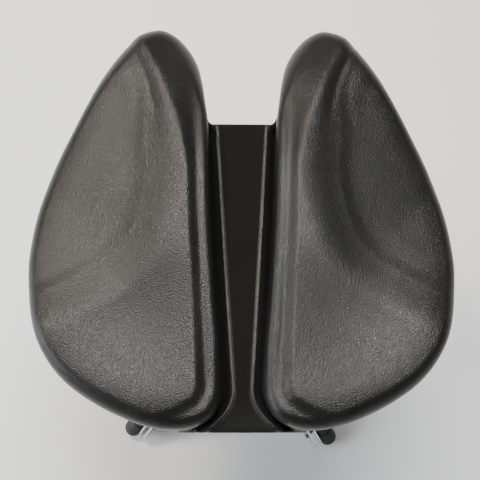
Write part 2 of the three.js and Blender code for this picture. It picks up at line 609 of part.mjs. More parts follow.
piece('seat_mount', seatMount(), blackCasting, mount);
const seatBolt = piece('seat_wing_bolt', wingBolt(BOLT_FACE - POST_RADIUS - CLEARANCE), zincSteel, mount);
seatBolt.position.set(0, -BOLT_FACE, SOCKET_BOTTOM + SEAT_BOLT_RISE);
seatBolt.rotation.z = -Math.PI / 2;
[[1, 1], [-1, 1], [-1, -1], [1, -1]].forEach(([sx, sy], i) => {
  piece(`mount_bolt_${i + 1}`, mountBolt(), zincSteel, mount)
    .position.set(sx * MOUNT_BOLT_X, sy * MOUNT_BOLT_Y, 0);
});
piece('seat_pan', seatPan(), plywood, seat);
piece('seat_cushion', seatCushion(), seatSkin, seat);

export default throne;
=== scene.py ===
"""A drum throne in Blender: a moulded saddle seat on a height-adjustable post and a folding base.

Shapes are worked out in millimetres and turned into meshes in metres. Castings, rubber feet and the
cushion are distance functions, polygonised by surface nets. Turned and flat pieces are swept rings.
"""

import json
import math

import bpy
import numpy as np
from mathutils import Matrix, Vector


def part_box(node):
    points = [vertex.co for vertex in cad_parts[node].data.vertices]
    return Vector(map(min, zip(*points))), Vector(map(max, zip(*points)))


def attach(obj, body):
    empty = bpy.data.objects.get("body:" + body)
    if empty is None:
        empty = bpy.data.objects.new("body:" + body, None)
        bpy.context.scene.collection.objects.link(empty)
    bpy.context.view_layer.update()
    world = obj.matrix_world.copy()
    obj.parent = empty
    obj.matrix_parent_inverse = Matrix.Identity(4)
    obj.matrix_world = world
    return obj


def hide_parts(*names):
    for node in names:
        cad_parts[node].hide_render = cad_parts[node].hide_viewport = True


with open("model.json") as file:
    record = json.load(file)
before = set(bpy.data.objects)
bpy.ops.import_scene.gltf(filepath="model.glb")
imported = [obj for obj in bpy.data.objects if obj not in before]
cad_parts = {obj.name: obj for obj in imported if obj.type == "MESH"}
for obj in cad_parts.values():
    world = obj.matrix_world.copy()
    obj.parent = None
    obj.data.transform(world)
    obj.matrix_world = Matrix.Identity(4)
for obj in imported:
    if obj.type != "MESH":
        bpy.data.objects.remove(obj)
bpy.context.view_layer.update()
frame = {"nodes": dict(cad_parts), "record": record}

MM = 0.001
COARSE = 1.0

# ---------------- sizes, in millimetres
CLEARANCE = 0.3
BASE_TURN = math.radians(-2.6)             # the seat swivels, so the base stands a little askew under it
LEG_AZIMUTHS = [math.radians(a) for a in (50, 130, 230, 310)]
SPREAD = math.radians(45.5)                # between an open leg and the vertical
LEG_PITCH = math.pi / 2 - SPREAD
LEG_LENGTH = 251                           # upper pivot to the middle of the foot's round end
BRACE_LENGTH = 92
HUB_RADIUS = 34                            # pivots' distance from the post's axis
TUBE_WALL, POST_WALL = 1.6, 2
BAR_WIDTH, BAR_THICKNESS, BAR_GAP = 18, 3, 6
BAR_OUTER = BAR_GAP / 2 + BAR_THICKNESS    # from a leg's middle plane to its bars' outer faces
BAR_END_BACK = 10.5                        # from the foot's round end centre back to the bars' end centre
BRACE_WIDTH, BRACE_THICKNESS, BRACE_BOSS = 14, 4, 5.5
PIN_RADIUS, HEAD_RADIUS, HEAD_HEIGHT = 3, 5.5, 2.2
RIVET_RADIUS, RIVET_HEAD_RADIUS = 4, 6.5
FOOT_RADIUS = 13.5
FOOT_FLANK = 12.6                          # from the foot's axis to the flat that bears on the bar
FOOT_OFFSET = BAR_OUTER + CLEARANCE + FOOT_FLANK
FOOT_BACK = 58                             # from the foot's round end centre back to its flat end
FOOT_CENTRE_HEIGHT = 12.5
FOOT_BOLT_BACK, FOOT_BOLT_DEPTH = 30, 13   # its place along the foot, and how far it goes in
COLLAR_RADIUS, COLLAR_HEIGHT = 24, 30
LOWER_HUB_HEIGHT = 24
LUG_RADIUS, LUG_PLAY = 8, 0.4
LUG_REACH = HUB_RADIUS + LUG_RADIUS
BOSS_RADIUS, BOSS_START, BOSS_REACH = 9, 16, 33    # the threaded boss for a wing bolt
SCREW_RADIUS = 4
WING_FLANGE, WING_HUB, WING_NECK = 8, 6.4, 13      # a wing bolt's two radii and its length to the wings
WING_OFFSET, WING_TILT = 15, 0.35
WING_HALF_HEIGHT, WING_HALF_WIDTH, WING_HALF_THICKNESS = 6.5, 11.5, 2.3
CLAMP_RADIUS, CLAMP_BOLT_X, CLAMP_BOLT_LENGTH, CLAMP_SPLIT = 22, 34, 30, 3
EAR_WIDTH, EAR_THICKNESS = 26, 21
NUT_ACROSS, NUT_THICKNESS = 13, 6.5
LOCK_RADIUS, LOCK_SCREW_X, LOCK_EAR_THICKNESS, LOCK_SPLIT = 21, -28, 17, 2.4
SOCKET_RADIUS = 21
PLATE_LENGTH, PLATE_WIDTH, PLATE_THICKNESS, PLATE_CORNER = 150, 112, 5.7, 14
RIB_AZIMUTHS = [math.radians(a) for a in (32, 148, 212, 328)]
RIB_REACH, RIB_HALF_THICKNESS = 64, 2.5
MOUNT_BOLT_X, MOUNT_BOLT_Y, MOUNT_BOLT_DEPTH = 58, 40, 15
SEAT_BOLT_RISE = 22                        # of the seat's wing bolt over the socket's bottom
SMALL_HEX, SMALL_HEX_HEIGHT = 10, 4        # across the flats of the small bolts' heads
BUSH_DEPTH, BUSH_RIM = 34, 3               # the nylon bush in the tube, and its rim on top
CAP_THICKNESS, CAP_DEPTH = 5.6, 5
GUIDE_HEIGHT, GUIDE_DEPTH = 8, 15


def span(node):
    """A CAD node's lowest and highest corner in millimetres."""
    low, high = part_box(node)
    return low / MM, high / MM


low, high = span("seat_cushion")
SEAT_MIDDLE = (low.y + high.y) / 2
FOAM_BOTTOM = low.z
low, high = span("seat_pan")
PAN_BOTTOM, PAN_TOP = low.z, high.z
low, high = span("post_tube")
POST_Y = (low.y + high.y) / 2
POST_RADIUS = (high.x - low.x) / 2
POST_BORE = POST_RADIUS - POST_WALL
POST_BOTTOM, POST_TOP = low.z, high.z
low, high = span("main_tube")
TUBE_RADIUS = (high.x - low.x) / 2
TUBE_BORE = TUBE_RADIUS - TUBE_WALL
TUBE_BOTTOM, TUBE_TOP = low.z, high.z
COLLAR_BORE = TUBE_RADIUS + CLEARANCE
low, high = span("height_clamp")
CLAMP_MIDDLE, CLAMP_HALF = (high.z + low.z) / 2, (high.z - low.z) / 2
low, high = span("memory_lock")
LOCK_MIDDLE, LOCK_HALF = (high.z + low.z) / 2, (high.z - low.z) / 2
low, high = span("seat_mount")
SOCKET_BOTTOM, PLATE_TOP = low.z, high.z
low, high = span("leg_1_pivot_pin")
UPPER_PIVOT = (low.z + high.z) / 2
low, high = span("brace_1_pin")
LOWER_PIVOT = (low.z + high.z) / 2


def shifted(matrix, x=0, y=0, z=0):
    """The matrix moved along its own axes by lengths in millimetres."""
    return matrix @ Matrix.Translation((x * MM, y * MM, z * MM))


post_at = shifted(Matrix(), y=POST_Y)
base_at = post_at @ Matrix.Rotation(BASE_TURN, 4, "Z")
seat_at = shifted(Matrix(), y=SEAT_MIDDLE)


# ---------------- distance functions
def step(value, start, end):
    """Rises smoothly from 0 at start to 1 at end."""
    t = np.clip((value - start) / (end - start), 0, 1)
    return t * t * (3 - 2 * t)


def blend_min(a, b, k):
    """The union of two shapes with a fillet about k wide."""
    h = np.clip(0.5 + 0.5 * (b - a) / k, 0, 1)
    return b * (1 - h) + a * h - k * h * (1 - h)


def round_max(a, b, r):
    """The part that two shapes share, with its edge rounded to radius r."""
    corner = np.hypot(np.maximum(a + r, 0), np.maximum(b + r, 0))
    return np.minimum(np.maximum(a, b), -r) + corner


def cut(a, b, r=0.4):
    return round_max(a, -b, r)


def cylinder(u, v, w, radius, start, end, r=0.6):
    """A cylinder along w between start and end."""
    return round_max(np.hypot(u, v) - radius, np.maximum(start - w, w - end), r)


def slab(u, v, w, half_u, half_v, half_w, r=0.6):
    side = round_max(np.abs(u) - half_u, np.abs(v) - half_v, r)
    return round_max(side, np.abs(w) - half_w, r)


def link(u, v, w, start, end, radius, half, r=0.6):
    """A flat bar with round ends: along u from start to end, thick along w."""
    nearest = np.clip(u, start, end)
    return round_max(np.hypot(u - nearest, v) - radius, np.abs(w) - half, r)


def turned_about(angle, x, y):
    """x and y in axes turned by the angle about Z."""
    c, s = math.cos(angle), math.sin(angle)
    return c * x + s * y, c * y - s * x


def spline(points, closed, per_span=10):
    """A smooth curve through the points."""
    p = np.array(points, float)
    n = len(p)
    out = []
    for i in range(n if closed else n - 1):
        if closed:
            a, b, c, d = (p[(i + k) % n] for k in (-1, 0, 1, 2))
        else:
            a, b, c, d = (p[min(max(i + k, 0), n - 1)] for k in (-1, 0, 1, 2))
        for t in np.arange(per_span) / per_span:
            out.append(0.5 * (2 * b + (c - a) * t + (2 * a - 5 * b + 4 * c - d) * t ** 2
                              + (3 * b - a - 3 * c + d) * t ** 3))
    if not closed:
        out.append(p[-1])
    return np.array(out)


def line_distance(curve, closed, x, y):
    """Distance from points to a curve; negative inside a closed one."""
    a = curve
    b = np.roll(curve, -1, 0)
    if not closed:
        a, b = a[:-1], b[:-1]
    along = b - a
    length2 = (along ** 2).sum(1)
    best = np.full(x.shape, np.inf)
    inside = np.zeros(x.shape, bool)
    for (ax, ay), (bx, by), (dx, dy), l2 in zip(a, b, along, length2):
        t = np.clip(((x - ax) * dx + (y - ay) * dy) / l2, 0, 1)
        best = np.minimum(best, (x - ax - t * dx) ** 2 + (y - ay - t * dy) ** 2)
        if closed and ay != by:
            inside ^= ((ay > y) != (by > y)) & (x < (bx - ax) * (y - ay) / (by - ay) + ax)
    best = np.sqrt(best)
    return np.where(inside, -best, best) if closed else best


class Map:
    """A function of x and y, kept on a fine grid and read between its points."""

    def __init__(self, function, low, high, pitch=1.25):
        self.low, self.pitch = np.array(low, float), pitch
        self.size = [int((h - l) / pitch) + 2 for l, h in zip(low, high)]
        x, y = (self.low[i] + pitch * np.arange(self.size[i]) for i in (0, 1))
        self.value = function(*np.meshgrid(x, y, indexing="ij"))

    def __call__(self, x, y):
        x, y = np.broadcast_arrays(x, y)
        u = np.clip((x - self.low[0]) / self.pitch, 0, self.size[0] - 1.001)
        v = np.clip((y - self.low[1]) / self.pitch, 0, self.size[1] - 1.001)
        i, j = u.astype(int), v.astype(int)
        u, v = u - i, v - j
        f = self.value
        return ((1 - u) * (1 - v) * f[i, j] + u * (1 - v) * f[i + 1, j]
                + (1 - u) * v * f[i, j + 1] + u * v * f[i + 1, j + 1])


# ---------------- meshes
def spaced(*stops):
    """Grid lines: a start, then pairs of a step and where it ends."""
    lines = [stops[0]]
    for pitch, end in zip(stops[1::2], stops[2::2]):
        count = math.ceil((end - lines[-1]) / pitch / COARSE)
        lines += list(np.linspace(lines[-1], end, count + 1)[1:])
    return np.array(lines)


def surface(shape, axes):
    """Surface nets: vertices and quads of the shape's surface, with the vertices settled onto it. The
    axes are the grid's lines along X, Y and Z."""
    x, y, z = np.meshgrid(*axes, indexing="ij", sparse=True)
    value = np.broadcast_to(shape(x, y, z), [len(a) for a in axes]).astype(float)
    cells = np.array(value.shape) - 1
    total, count = np.zeros((*cells, 3)), np.zeros(cells)
    crossings = []
    for axis in range(3):
        u, v = (a for a in range(3) if a != axis)
        first = np.take(value, range(cells[axis]), axis)
        second = np.take(value, range(1, cells[axis] + 1), axis)
        crossed = (first < 0) != (second < 0)
        share = np.where(crossed, first / np.where(crossed, first - second, 1), 0)
        crossings.append((crossed, first < 0, u, v))
        for du in (0, 1):
            for dv in (0, 1):
                s = [slice(None)] * 3
                s[u], s[v] = slice(du, cells[u] + du), slice(dv, cells[v] + dv)
                hit = crossed[tuple(s)]
                count += hit
                total[..., axis] += share[tuple(s)]
                total[..., u] += hit * du
                total[..., v] += hit * dv
    active = count > 0
    index = np.full(cells, -1)
    index[active] = np.arange(active.sum())
    points = np.argwhere(active) + total[active] / count[active][:, None]
    points = np.stack([np.interp(p, np.arange(len(a)), a) for p, a in zip(points.T, axes)], 1)
    quads = []
    for axis, (crossed, out, u, v) in enumerate(crossings):
        s = [slice(None)] * 3
        s[u], s[v] = slice(1, cells[u]), slice(1, cells[v])
        found = np.argwhere(crossed[tuple(s)])
        outward = out[tuple(s)][tuple(found.T)]
        corners = []
        for du, dv in ((0, 0), (1, 0), (1, 1), (0, 1)):
            c = found.copy()
            c[:, u] += du
            c[:, v] += dv
            corners.append(index[tuple(c.T)])
        quad = np.stack(corners, 1)
        flip = outward == (axis == 1)
        quad[flip] = quad[flip][:, ::-1]
        quads.append(quad)
    pitch = min(np.diff(a).min() for a in axes)
    h = pitch * 0.1
    for _ in range(2):
        x, y, z = points.T
        f = shape(x, y, z)
        slope = np.stack([shape(x + h, y, z), shape(x, y + h, z), shape(x, y, z + h)], 1) - f[:, None]
        slope /= h
        move = f / np.maximum((slope ** 2).sum(1), 0.25)
        points = points - np.clip(move[:, None] * slope, -pitch / 2, pitch / 2)
    return points, np.concatenate(quads)


def rings(sections):
    """Vertices and faces of equal rings joined one to the next, with flat ends."""
    n = len(sections[0])
    points = np.concatenate(sections)
    faces = []
    for k in range(len(sections) - 1):
        for i in range(n):
            j = (i + 1) % n
            faces.append((k * n + i, k * n + j, (k + 1) * n + j, (k + 1) * n + i))
    faces.append(tuple(range(n))[::-1])
    faces.append(tuple(range((len(sections) - 1) * n, len(sections) * n)))
    return points, faces


def turned(profile, sides=72):
    """A turned piece about Z from (radius, z) points. One that ends on the axis is closed there."""
    sides = round(sides / COARSE)
    angle = np.linspace(0, 2 * math.pi, sides, endpoint=False)
    circle = np.stack([np.cos(angle), np.sin(angle)], 1)
    return rings([np.column_stack([circle * r, np.full(sides, z)]) for r, z in profile])


def turned_tube(profile, sides=72):
    """A turned piece whose closed profile stays off the axis."""
    points, faces = turned(list(profile) + [profile[0]], sides)
    return points, faces[:-2]


QUARTER_TURN = [i / 4 * math.pi / 2 for i in range(5)]     # angles over a rounded edge
DOME_TURN = np.linspace(0, math.pi / 2, 6)                 # angles over a domed head


def rounded(radius, start, end, edge):
    """A turned profile's outside from start to end with rounded rims."""
    inner, first, last = radius - edge, start + edge, end - edge
    return ([(inner + edge * math.sin(t), first - edge * math.cos(t)) for t in QUARTER_TURN]
            + [(inner + edge * math.cos(t), last + edge * math.sin(t)) for t in QUARTER_TURN])


def plate(outline, start, end, edge):
    """A flat piece with rounded edges: the outline in XY, thick along Z."""
    before, after = np.roll(outline, 1, 0), np.roll(outline, -1, 0)
    along = after - before
    along /= np.linalg.norm(along, axis=1)[:, None]
    inward = np.column_stack([-along[:, 1], along[:, 0]])
    sections = []
    for t in QUARTER_TURN:
        inset, rise = edge * (1 - math.sin(t)), edge * (1 - math.cos(t))
        sections.append(np.column_stack([outline + inward * inset, np.full(len(outline), start + rise)]))
    for section in sections[::-1].copy():
        turned_over = section.copy()
        turned_over[:, 2] = start + end - section[:, 2]
        sections.append(turned_over)
    return rings(sections)


def bar(start, end, width, middle, thickness, edge=0.6):
    """A flat bar with round ends along X, thick along Y."""
    angle = np.linspace(-math.pi / 2, math.pi / 2, round(24 / COARSE))
    half = np.stack([np.cos(angle), np.sin(angle)], 1) * width / 2
    outline = np.concatenate([half + [end, 0], -half + [start, 0]])
    points, faces = plate(outline, -thickness / 2, thickness / 2, edge)
    return np.column_stack([points[:, 0], middle - points[:, 2], points[:, 1]]), faces


def along_x(shape):
    points, faces = shape
    return points[:, [2, 0, 1]], faces


def along_y(shape):
    points, faces = shape
    return points[:, [1, 2, 0]], faces


def together(*shapes):
    """Several closed shapes as one mesh."""
    points, faces, count = [], [], 0
    for p, f in shapes:
        points.append(p)
        faces += [tuple(int(i) + count for i in face) for face in f]
        count += len(p)
    return np.concatenate(points), faces


# ---------------- materials
def new_material(name, color, roughness, metallic=0.0):
    look = bpy.data.materials.new(name)
    look.use_nodes = True
    nodes = look.node_tree.nodes
    shader = nodes["Principled BSDF"]
    shader.inputs["Base Color"].default_value = (*color, 1)
    shader.inputs["Roughness"].default_value = roughness
    shader.inputs["Metallic"].default_value = metallic
    return look, shader, nodes.new("ShaderNodeTexCoord").outputs["Object"]


def feed(value, socket):
    socket.id_data.links.new(value, socket)


def add(socket, kind, **values):
    """Adds a node to the tree that the socket is in, and sets its inputs or properties."""
    node = socket.id_data.nodes.new(kind)
    for key, value in values.items():
        if key in node.inputs:
            node.inputs[key].default_value = value
        else:
            setattr(node, key, value)
    return node


def noise(place, scale, detail=3.0, roughness=0.5):
    node = add(place, "ShaderNodeTexNoise", Scale=scale, Detail=detail, Roughness=roughness)
    feed(place, node.inputs["Vector"])
    return node.outputs["Fac"]


def spread_over(value, low, high, source=(0.0, 1.0)):
    node = add(value, "ShaderNodeMapRange")
    node.inputs["From Min"].default_value, node.inputs["From Max"].default_value = source
    node.inputs["To Min"].default_value, node.inputs["To Max"].default_value = low, high
    feed(value, node.inputs["Value"])
    return node.outputs["Result"]


def ramp(value, stops):
    node = add(value, "ShaderNodeValToRGB")
    elements = node.color_ramp.elements
    while len(elements) < len(stops):
        elements.new(0.5)
    for element, (at, color) in zip(elements, stops):
        element.position = at
        element.color = (*color, 1)
    feed(value, node.inputs["Fac"])
    return node.outputs["Color"]


def mixed(factor, first, second):
    """Blends two colours, each a socket or a plain colour."""
    node = add(factor, "ShaderNodeMix", data_type="RGBA")
    feed(factor, node.inputs[0])
    for socket, color in ((node.inputs[6], first), (node.inputs[7], second)):
        if isinstance(color, tuple):
            socket.default_value = (*color, 1)
        else:
            feed(color, socket)
    return node.outputs[2]


def bump(shader, height, distance, strength=1.0, under=None):
    node = add(height, "ShaderNodeBump", Strength=strength, Distance=distance)
    feed(height, node.inputs["Height"])
    if under is not None:
        feed(under, node.inputs["Normal"])
    feed(node.outputs["Normal"], shader.inputs["Normal"])
    return node.outputs["Normal"]


def seat_skin():
    """Self-skinned foam: a fine pebble grain, satin where it is sat on and dull in the channel, whose floor
    and grooves are painted near-black as painted shade.
    """
    look, shader, place = new_material("seat_skin", (0.03, 0.03, 0.028), 0.42)
    pebbles = add(place, "ShaderNodeTexVoronoi", Scale=1000.0, feature="SMOOTH_F1")
    feed(place, pebbles.inputs["Vector"])
    pebble = spread_over(pebbles.outputs["Distance"], 1.0, 0.0, (0.0, 0.75))
    fine = bump(shader, noise(place, 2200.0, 2.0), 0.0001, 0.5)
    bump(shader, pebble, 0.00034, 0.9, fine)
    patches = noise(place, 14.0, 4.0, 0.6)
    tone = ramp(patches, [(0.3, (0.007, 0.007, 0.0068)), (0.7, (0.010, 0.0099, 0.0095))])
    gloss_and_shade_mask = outside_the_channel(place)
    satin = spread_over(patches, 0.27, 0.33, (0.3, 0.7))
    dull = calculated("SUBTRACT", 0.92, calculated("MULTIPLY", gloss_and_shade_mask, 0.62))
    feed(calculated("MAXIMUM", satin, dull), shader.inputs["Roughness"])
    shader.inputs["Specular IOR Level"].default_value = 0.33
    # Painted shade: a near-black colour on the channel's floor and grooves; the lobes and the spine's edge
    # keep the skin's own tone.
    feed(mixed(gloss_and_shade_mask, (0.0012, 0.0014, 0.0010), tone), shader.inputs["Base Color"])
    return look


def calculated(operation, *values):
    """A sum or the like of values, each a socket or a float."""
    sockets = [value for value in values if not isinstance(value, float)]
    node = add(sockets[0], "ShaderNodeMath", operation=operation)
    for socket, value in zip(node.inputs, values):
        if isinstance(value, float):
            socket.default_value = value
        else:
            feed(value, socket)
    return node.outputs["Value"]


def xyz(vector):
    node = add(vector, "ShaderNodeSeparateXYZ")
    feed(vector, node.inputs["Vector"])
    return [node.outputs[name] for name in "XYZ"]


def outside_the_channel(place):
    """1 on the lobes and along the spine's rounded edge, and 0 on the spine's top and in the grooves, where
    the skin is painted near-black as painted shade and made dull.
    Lengths are in metres."""
    taper_slope, flare_start, flare_rate = 0.0645, -0.188, 17.8
    edge_start, edge_end = (0.0183, 0.0203), (0.0233, 0.0263)
    floor_slope, floor_top = 0.088, (0.490, 0.497)
    channel_side, rear_rim, rear_gloss_less_shade = (0.040, 0.046), (-0.22, -0.19), 0.1
    x, y, z = xyz(place)
    side = calculated("ABSOLUTE", x)
    taper = calculated("MULTIPLY_ADD", y, -taper_slope, side)
    past = calculated("MAXIMUM", calculated("MULTIPLY_ADD", y, -1.0, flare_start), 0.0)
    flare = calculated("MULTIPLY", calculated("MULTIPLY", past, past), flare_rate)
    beside = calculated("SUBTRACT", taper, flare)
    edge = calculated("MULTIPLY", spread_over(beside, 0.0, 1.0, edge_start),
                      spread_over(beside, 1.0, 0.0, edge_end))
    above = spread_over(calculated("MULTIPLY_ADD", y, floor_slope, z), 0.0, 1.0, floor_top)
    # Near the rear rim the painted shade eases off a little, and the skin gets a little gloss.
    behind = spread_over(y, rear_gloss_less_shade, 0.0, rear_rim)
    lobe = calculated("MAXIMUM", above, spread_over(side, 0.0, 1.0, channel_side))
    return calculated("MAXIMUM", lobe, calculated("MAXIMUM", edge, behind))


def chrome():
    look, shader, place = new_material("chrome", (0.55, 0.56, 0.58), 0.08, 1.0)
    smears = noise(place, 55.0, 5.0, 0.65)
    feed(spread_over(smears, 0.05, 0.16, (0.35, 0.75)), shader.inputs["Roughness"])
    bump(shader, noise(place, 300.0, 2.0), 0.00002, 0.3)
    return look


def zinc():
    look, shader, place = new_material("zinc_steel", (0.5, 0.51, 0.52), 0.3, 1.0)
    spangle = noise(place, 240.0, 4.0, 0.6)
    feed(ramp(spangle, [(0.3, (0.42, 0.43, 0.45)), (0.7, (0.56, 0.56, 0.56))]),
         shader.inputs["Base Color"])
    feed(spread_over(spangle, 0.24, 0.4, (0.3, 0.7)), shader.inputs["Roughness"])
    bump(shader, spangle, 0.00003, 0.4)
    return look


def powder_coat():
    look, shader, place = new_material("black_casting", (0.018, 0.018, 0.019), 0.42)
    peel = noise(place, 700.0, 2.0)
    bump(shader, peel, 0.00012, 0.5)
    feed(spread_over(noise(place, 60.0), 0.36, 0.5, (0.3, 0.7)), shader.inputs["Roughness"])
    shader.inputs["Coat Weight"].default_value = 0.2
    shader.inputs["Coat Roughness"].default_value = 0.3
    return look


def rubber():
    look, shader, place = new_material("rubber", (0.018, 0.018, 0.018), 0.62)
    dust = noise(place, 90.0, 5.0, 0.7)
    feed(ramp(dust, [(0.35, (0.014, 0.014, 0.014)), (0.8, (0.032, 0.031, 0.03))]),
         shader.inputs["Base Color"])
    bump(shader, noise(place, 900.0, 2.0), 0.0001, 0.4)
    return look


def nylon():
    look, shader, place = new_material("nylon", (0.022, 0.022, 0.023), 0.5)
    bump(shader, noise(place, 500.0, 3.0), 0.00006, 0.4)
    feed(spread_over(noise(place, 80.0), 0.42, 0.58, (0.3, 0.7)), shader.inputs["Roughness"])
    return look


def plywood():
    """Black stain on the faces, with the plies' edges showing through it at the rim."""
    look, shader, place = new_material("plywood", (0.03, 0.025, 0.02), 0.6)
    stretch = add(place, "ShaderNodeVectorMath", operation="MULTIPLY")
    stretch.inputs[1].default_value = (9.0, 0.8, 9.0)
    feed(place, stretch.inputs[0])
    grain = noise(stretch.outputs["Vector"], 14.0, 6.0, 0.65)
    plies = add(place, "ShaderNodeTexWave", Scale=140.0, bands_direction="Z")
    feed(place, plies.inputs["Vector"])
    stain = [(0.3, (0.012, 0.010, 0.009)), (0.7, (0.035, 0.028, 0.022))]
    bare_plies = [(0.35, (0.03, 0.02, 0.013)), (0.65, (0.10, 0.065, 0.04))]
    faces = ramp(grain, stain)
    edges = ramp(plies.outputs["Fac"], bare_plies)
    lie = add(place, "ShaderNodeNewGeometry")
    upright = xyz(lie.outputs["True Normal"])[2]
    flat = spread_over(calculated("ABSOLUTE", upright), 0.0, 1.0, (0.4, 0.8))
    feed(mixed(flat, edges, faces), shader.inputs["Base Color"])
    bump(shader, grain, 0.0003, 0.5)
    return look


LOOKS = {"seat_skin": seat_skin(), "chrome": chrome(), "zinc_steel": zinc(), "black_casting": powder_coat(),
         "rubber": rubber(), "nylon": nylon(), "plywood": plywood()}
SLOTS = {s["node"]: s["material_slot"] for s in frame["record"]["subparts"]}
BODIES = {node: body for body, nodes in frame["record"]["behaviour"]["bodies"].items() for node in nodes}


def piece(name, shape, matrix, *nodes, sharp=35):
    """Makes a mesh in metres and stands it in for CAD nodes, with the first one's body and material.
    Edges sharper than the angle, in degrees, stay crisp."""
    points, faces = shape
    mesh = bpy.data.meshes.new(name)
    faces = [tuple(int(i) for i in f) for f in faces]
    mesh.from_pydata((points * MM).tolist(), [], faces)
    mesh.validate()
    mesh.update()
    mesh.shade_smooth()
    mesh.set_sharp_from_angle(angle=math.radians(sharp))
    mesh.materials.append(LOOKS[SLOTS[nodes[0]]])
    made = bpy.data.objects.new(name, mesh)
    made.matrix_world = matrix
    bpy.context.scene.collection.objects.link(made)
    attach(made, BODIES[nodes[0]])
    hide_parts(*nodes)
    return made


# ---------------- the seat
SEAT_HEIGHT = 520
BASIN_X, BASIN_Y, BASIN_RADIUS, BASIN_DEPTH = 115, -110, 100, 7
RIM_RISE = 2                               # at the rear, inside the outer rim
EDGE_ROLL, EDGE_ROLL_WIDTH, REAR_ROLL_WIDER = 3, 30, 8
TERRACE_DROP, TERRACE_TILT, TILT_REACH = 13, 0.18, 120
SLOPE_WIDTH, HORN_SLOPE_NARROWER = 31, 15  # half the width of the slope down to a terrace
HORN_TERRACE_LOSS = 0.6                    # the share of a terrace's drop that a horn lacks
HORN_FALL, TIP_FALL = 16, 9
ROLL_DEPTH, HORN_ROLL_MORE, REAR_ROLL_LOSS = 5.6, 1.55, 0.6     # from the lobe down towards the channel
VALLEY, REAR_VALLEY_WIDER, HORN_VALLEY_NARROWER = 12.5, 4, 18.5 # from the wall to the roll's foot
ROLL_TOP, HORN_CREST_WIDER = 26.5, 24.5    # from the wall to the roll's top
BEAD_HEIGHT, BEAD_INSET, BEAD_WIDTH = 0.5, 9.5, 5
CREASE_DEPTH, CREST_HEIGHT, CREST_OUT = 1.0, 1.2, 13
RIM_SWELL = -0.6                           # of the walls beyond the outline: a little inside it
THIGH_SWELL, THIGH_SWELL_Y, THIGH_SWELL_WIDTH = 3, 55, 65       # more beside the terraces
WALL_EDGE, OUTER_EDGE_MORE, TIP_EDGE_MORE, REAR_EDGE_MORE = 8, 4, 10, 5     # the lobes' edge radii
TUCK, TUCK_TOP, TUCK_HEIGHT = 5, 484, 38   # how far the walls draw in below the rim
FLOOR_HEIGHT, FLOOR_RISE, REAR_FLOOR_RISE = 467, 10, 18
SPINE_HALF_WIDTH, SPINE_NARROWING, SPINE_LENGTH = 31, 18, 300
SPINE_FLARE, FLARE_Y, FLARE_LENGTH = 30, -188, 41
LIP_HEIGHT, LIP_INSET, LIP_WIDTH = 1.0, 3, 2.6
GROOVE_DEPTH, GROOVE_INSET, GROOVE_WIDTH = 13, 2.5, 12
WEB_FRONT, WEB_REAR, WEB_HALF_WIDTH, WEB_REAR_WIDER = 118.5, -229, 44, 22
WEB_CORNER, NOTCH_FILLET = 39, 7           # where the web's front edge meets the horns
PAN_PLAY = 0.6

# Spans along Y over which a feature comes in, and along -Y for the rear ones.
HORN_SPAN = (30, 190)
HORN_FALL_SPAN, TIP_SPAN = (20, 240), (130, 240)
HORN_TERRACE_SPAN, HORN_SLOPE_SPAN = (80, 190), (80, 160)
HORN_VALLEY_SPAN, CREASE_SPAN = (90, 180), (90, 140)
REAR_VALLEY_SPAN, REAR_ROLL_SPAN = (60, 190), (60, 160)
REAR_RIM_SPAN, REAR_EDGE_SPAN = (180, 222), (120, 200)
BASIN_RIM_SPAN = (20, 130)

# Half outlines, x >= 0, about the seat's middle: the lobe's channel side and its outer side.
CHANNEL_SIDE = [
    (50, -225), (34, -217), (25.5, -206), (20, -188), (22, -150), (26.8, -101), (30.4, -52),
    (33.6, 3), (35.4, 60), (37.5, 105), (41, 134), (44.5, 159), (50, 184), (60, 205), (75.5, 222.5),
    (97, 229.5),
]
OUTER_SIDE = [
    (97, 229.5), (123, 217), (149, 184.5), (171, 143.5), (201.5, 69), (221.5, 7), (228.5, -45),
    (225.5, -84), (217, -122), (202.5, -154), (181, -180), (151, -201), (118, -217), (90, -225.5),
    (68, -227.5), (50, -225),
]
PAN_OUTLINE = [
    (0, -205), (60, -208), (112, -198), (166, -166), (203, -110), (212, -52), (204, 10),
    (162, 112), (128, 178), (100, 200), (78, 190), (60, 150), (54, 104), (38, 90), (0, 90),
]

# The foot of the lobe's roll towards the channel: its side, carried straight on past the horn's tip and
# out along the rear rim.
CHANNEL_LINE = [(84, -240), (56, -230)] + CHANNEL_SIDE[1:13] + [(64, 216), (84, 262)]

# Along the middle of the slope down to the terrace. On the horn it is the crease beside the crest.
TERRACE_SIDE = [
    (157, 262), (120, 187), (104, 151), (96, 115), (92, 80), (89, 38), (102, -20),
    (128, -58), (165, -82), (207, -106), (250, -128),
]

lobe_curve = spline(CHANNEL_SIDE[:-1] + OUTER_SIDE[:-1], closed=True)
split = 10 * (len(CHANNEL_SIDE) - 1)
reach = ((-12, -246), (250, 246))
lobe_edge = Map(lambda x, y: line_distance(lobe_curve, True, x, y), *reach)
channel_curve = np.concatenate([[(-400, -262), (84, -262)], spline(CHANNEL_LINE, closed=False),
                                [(-400, 262)]])
from_channel = Map(lambda x, y: line_distance(channel_curve, True, x, y), *reach)
from_outside = Map(lambda x, y: line_distance(lobe_curve[split + 4:-3], False, x, y), *reach)
terrace_curve = np.concatenate([spline(TERRACE_SIDE, closed=False), [(400, -128), (400, 400), (157, 400)]])
into_terrace = Map(lambda x, y: -line_distance(terrace_curve, True, x, y), *reach)
pan_curve = spline(PAN_OUTLINE + [(-x, y) for x, y in PAN_OUTLINE[-2:0:-1]], closed=True, per_span=6)
pan_edge = Map(lambda x, y: line_distance(pan_curve, True, x, y), (-250, -246), (250, 246))


def bell(value, middle, width):
    return np.exp(-((value - middle) / width) ** 2)


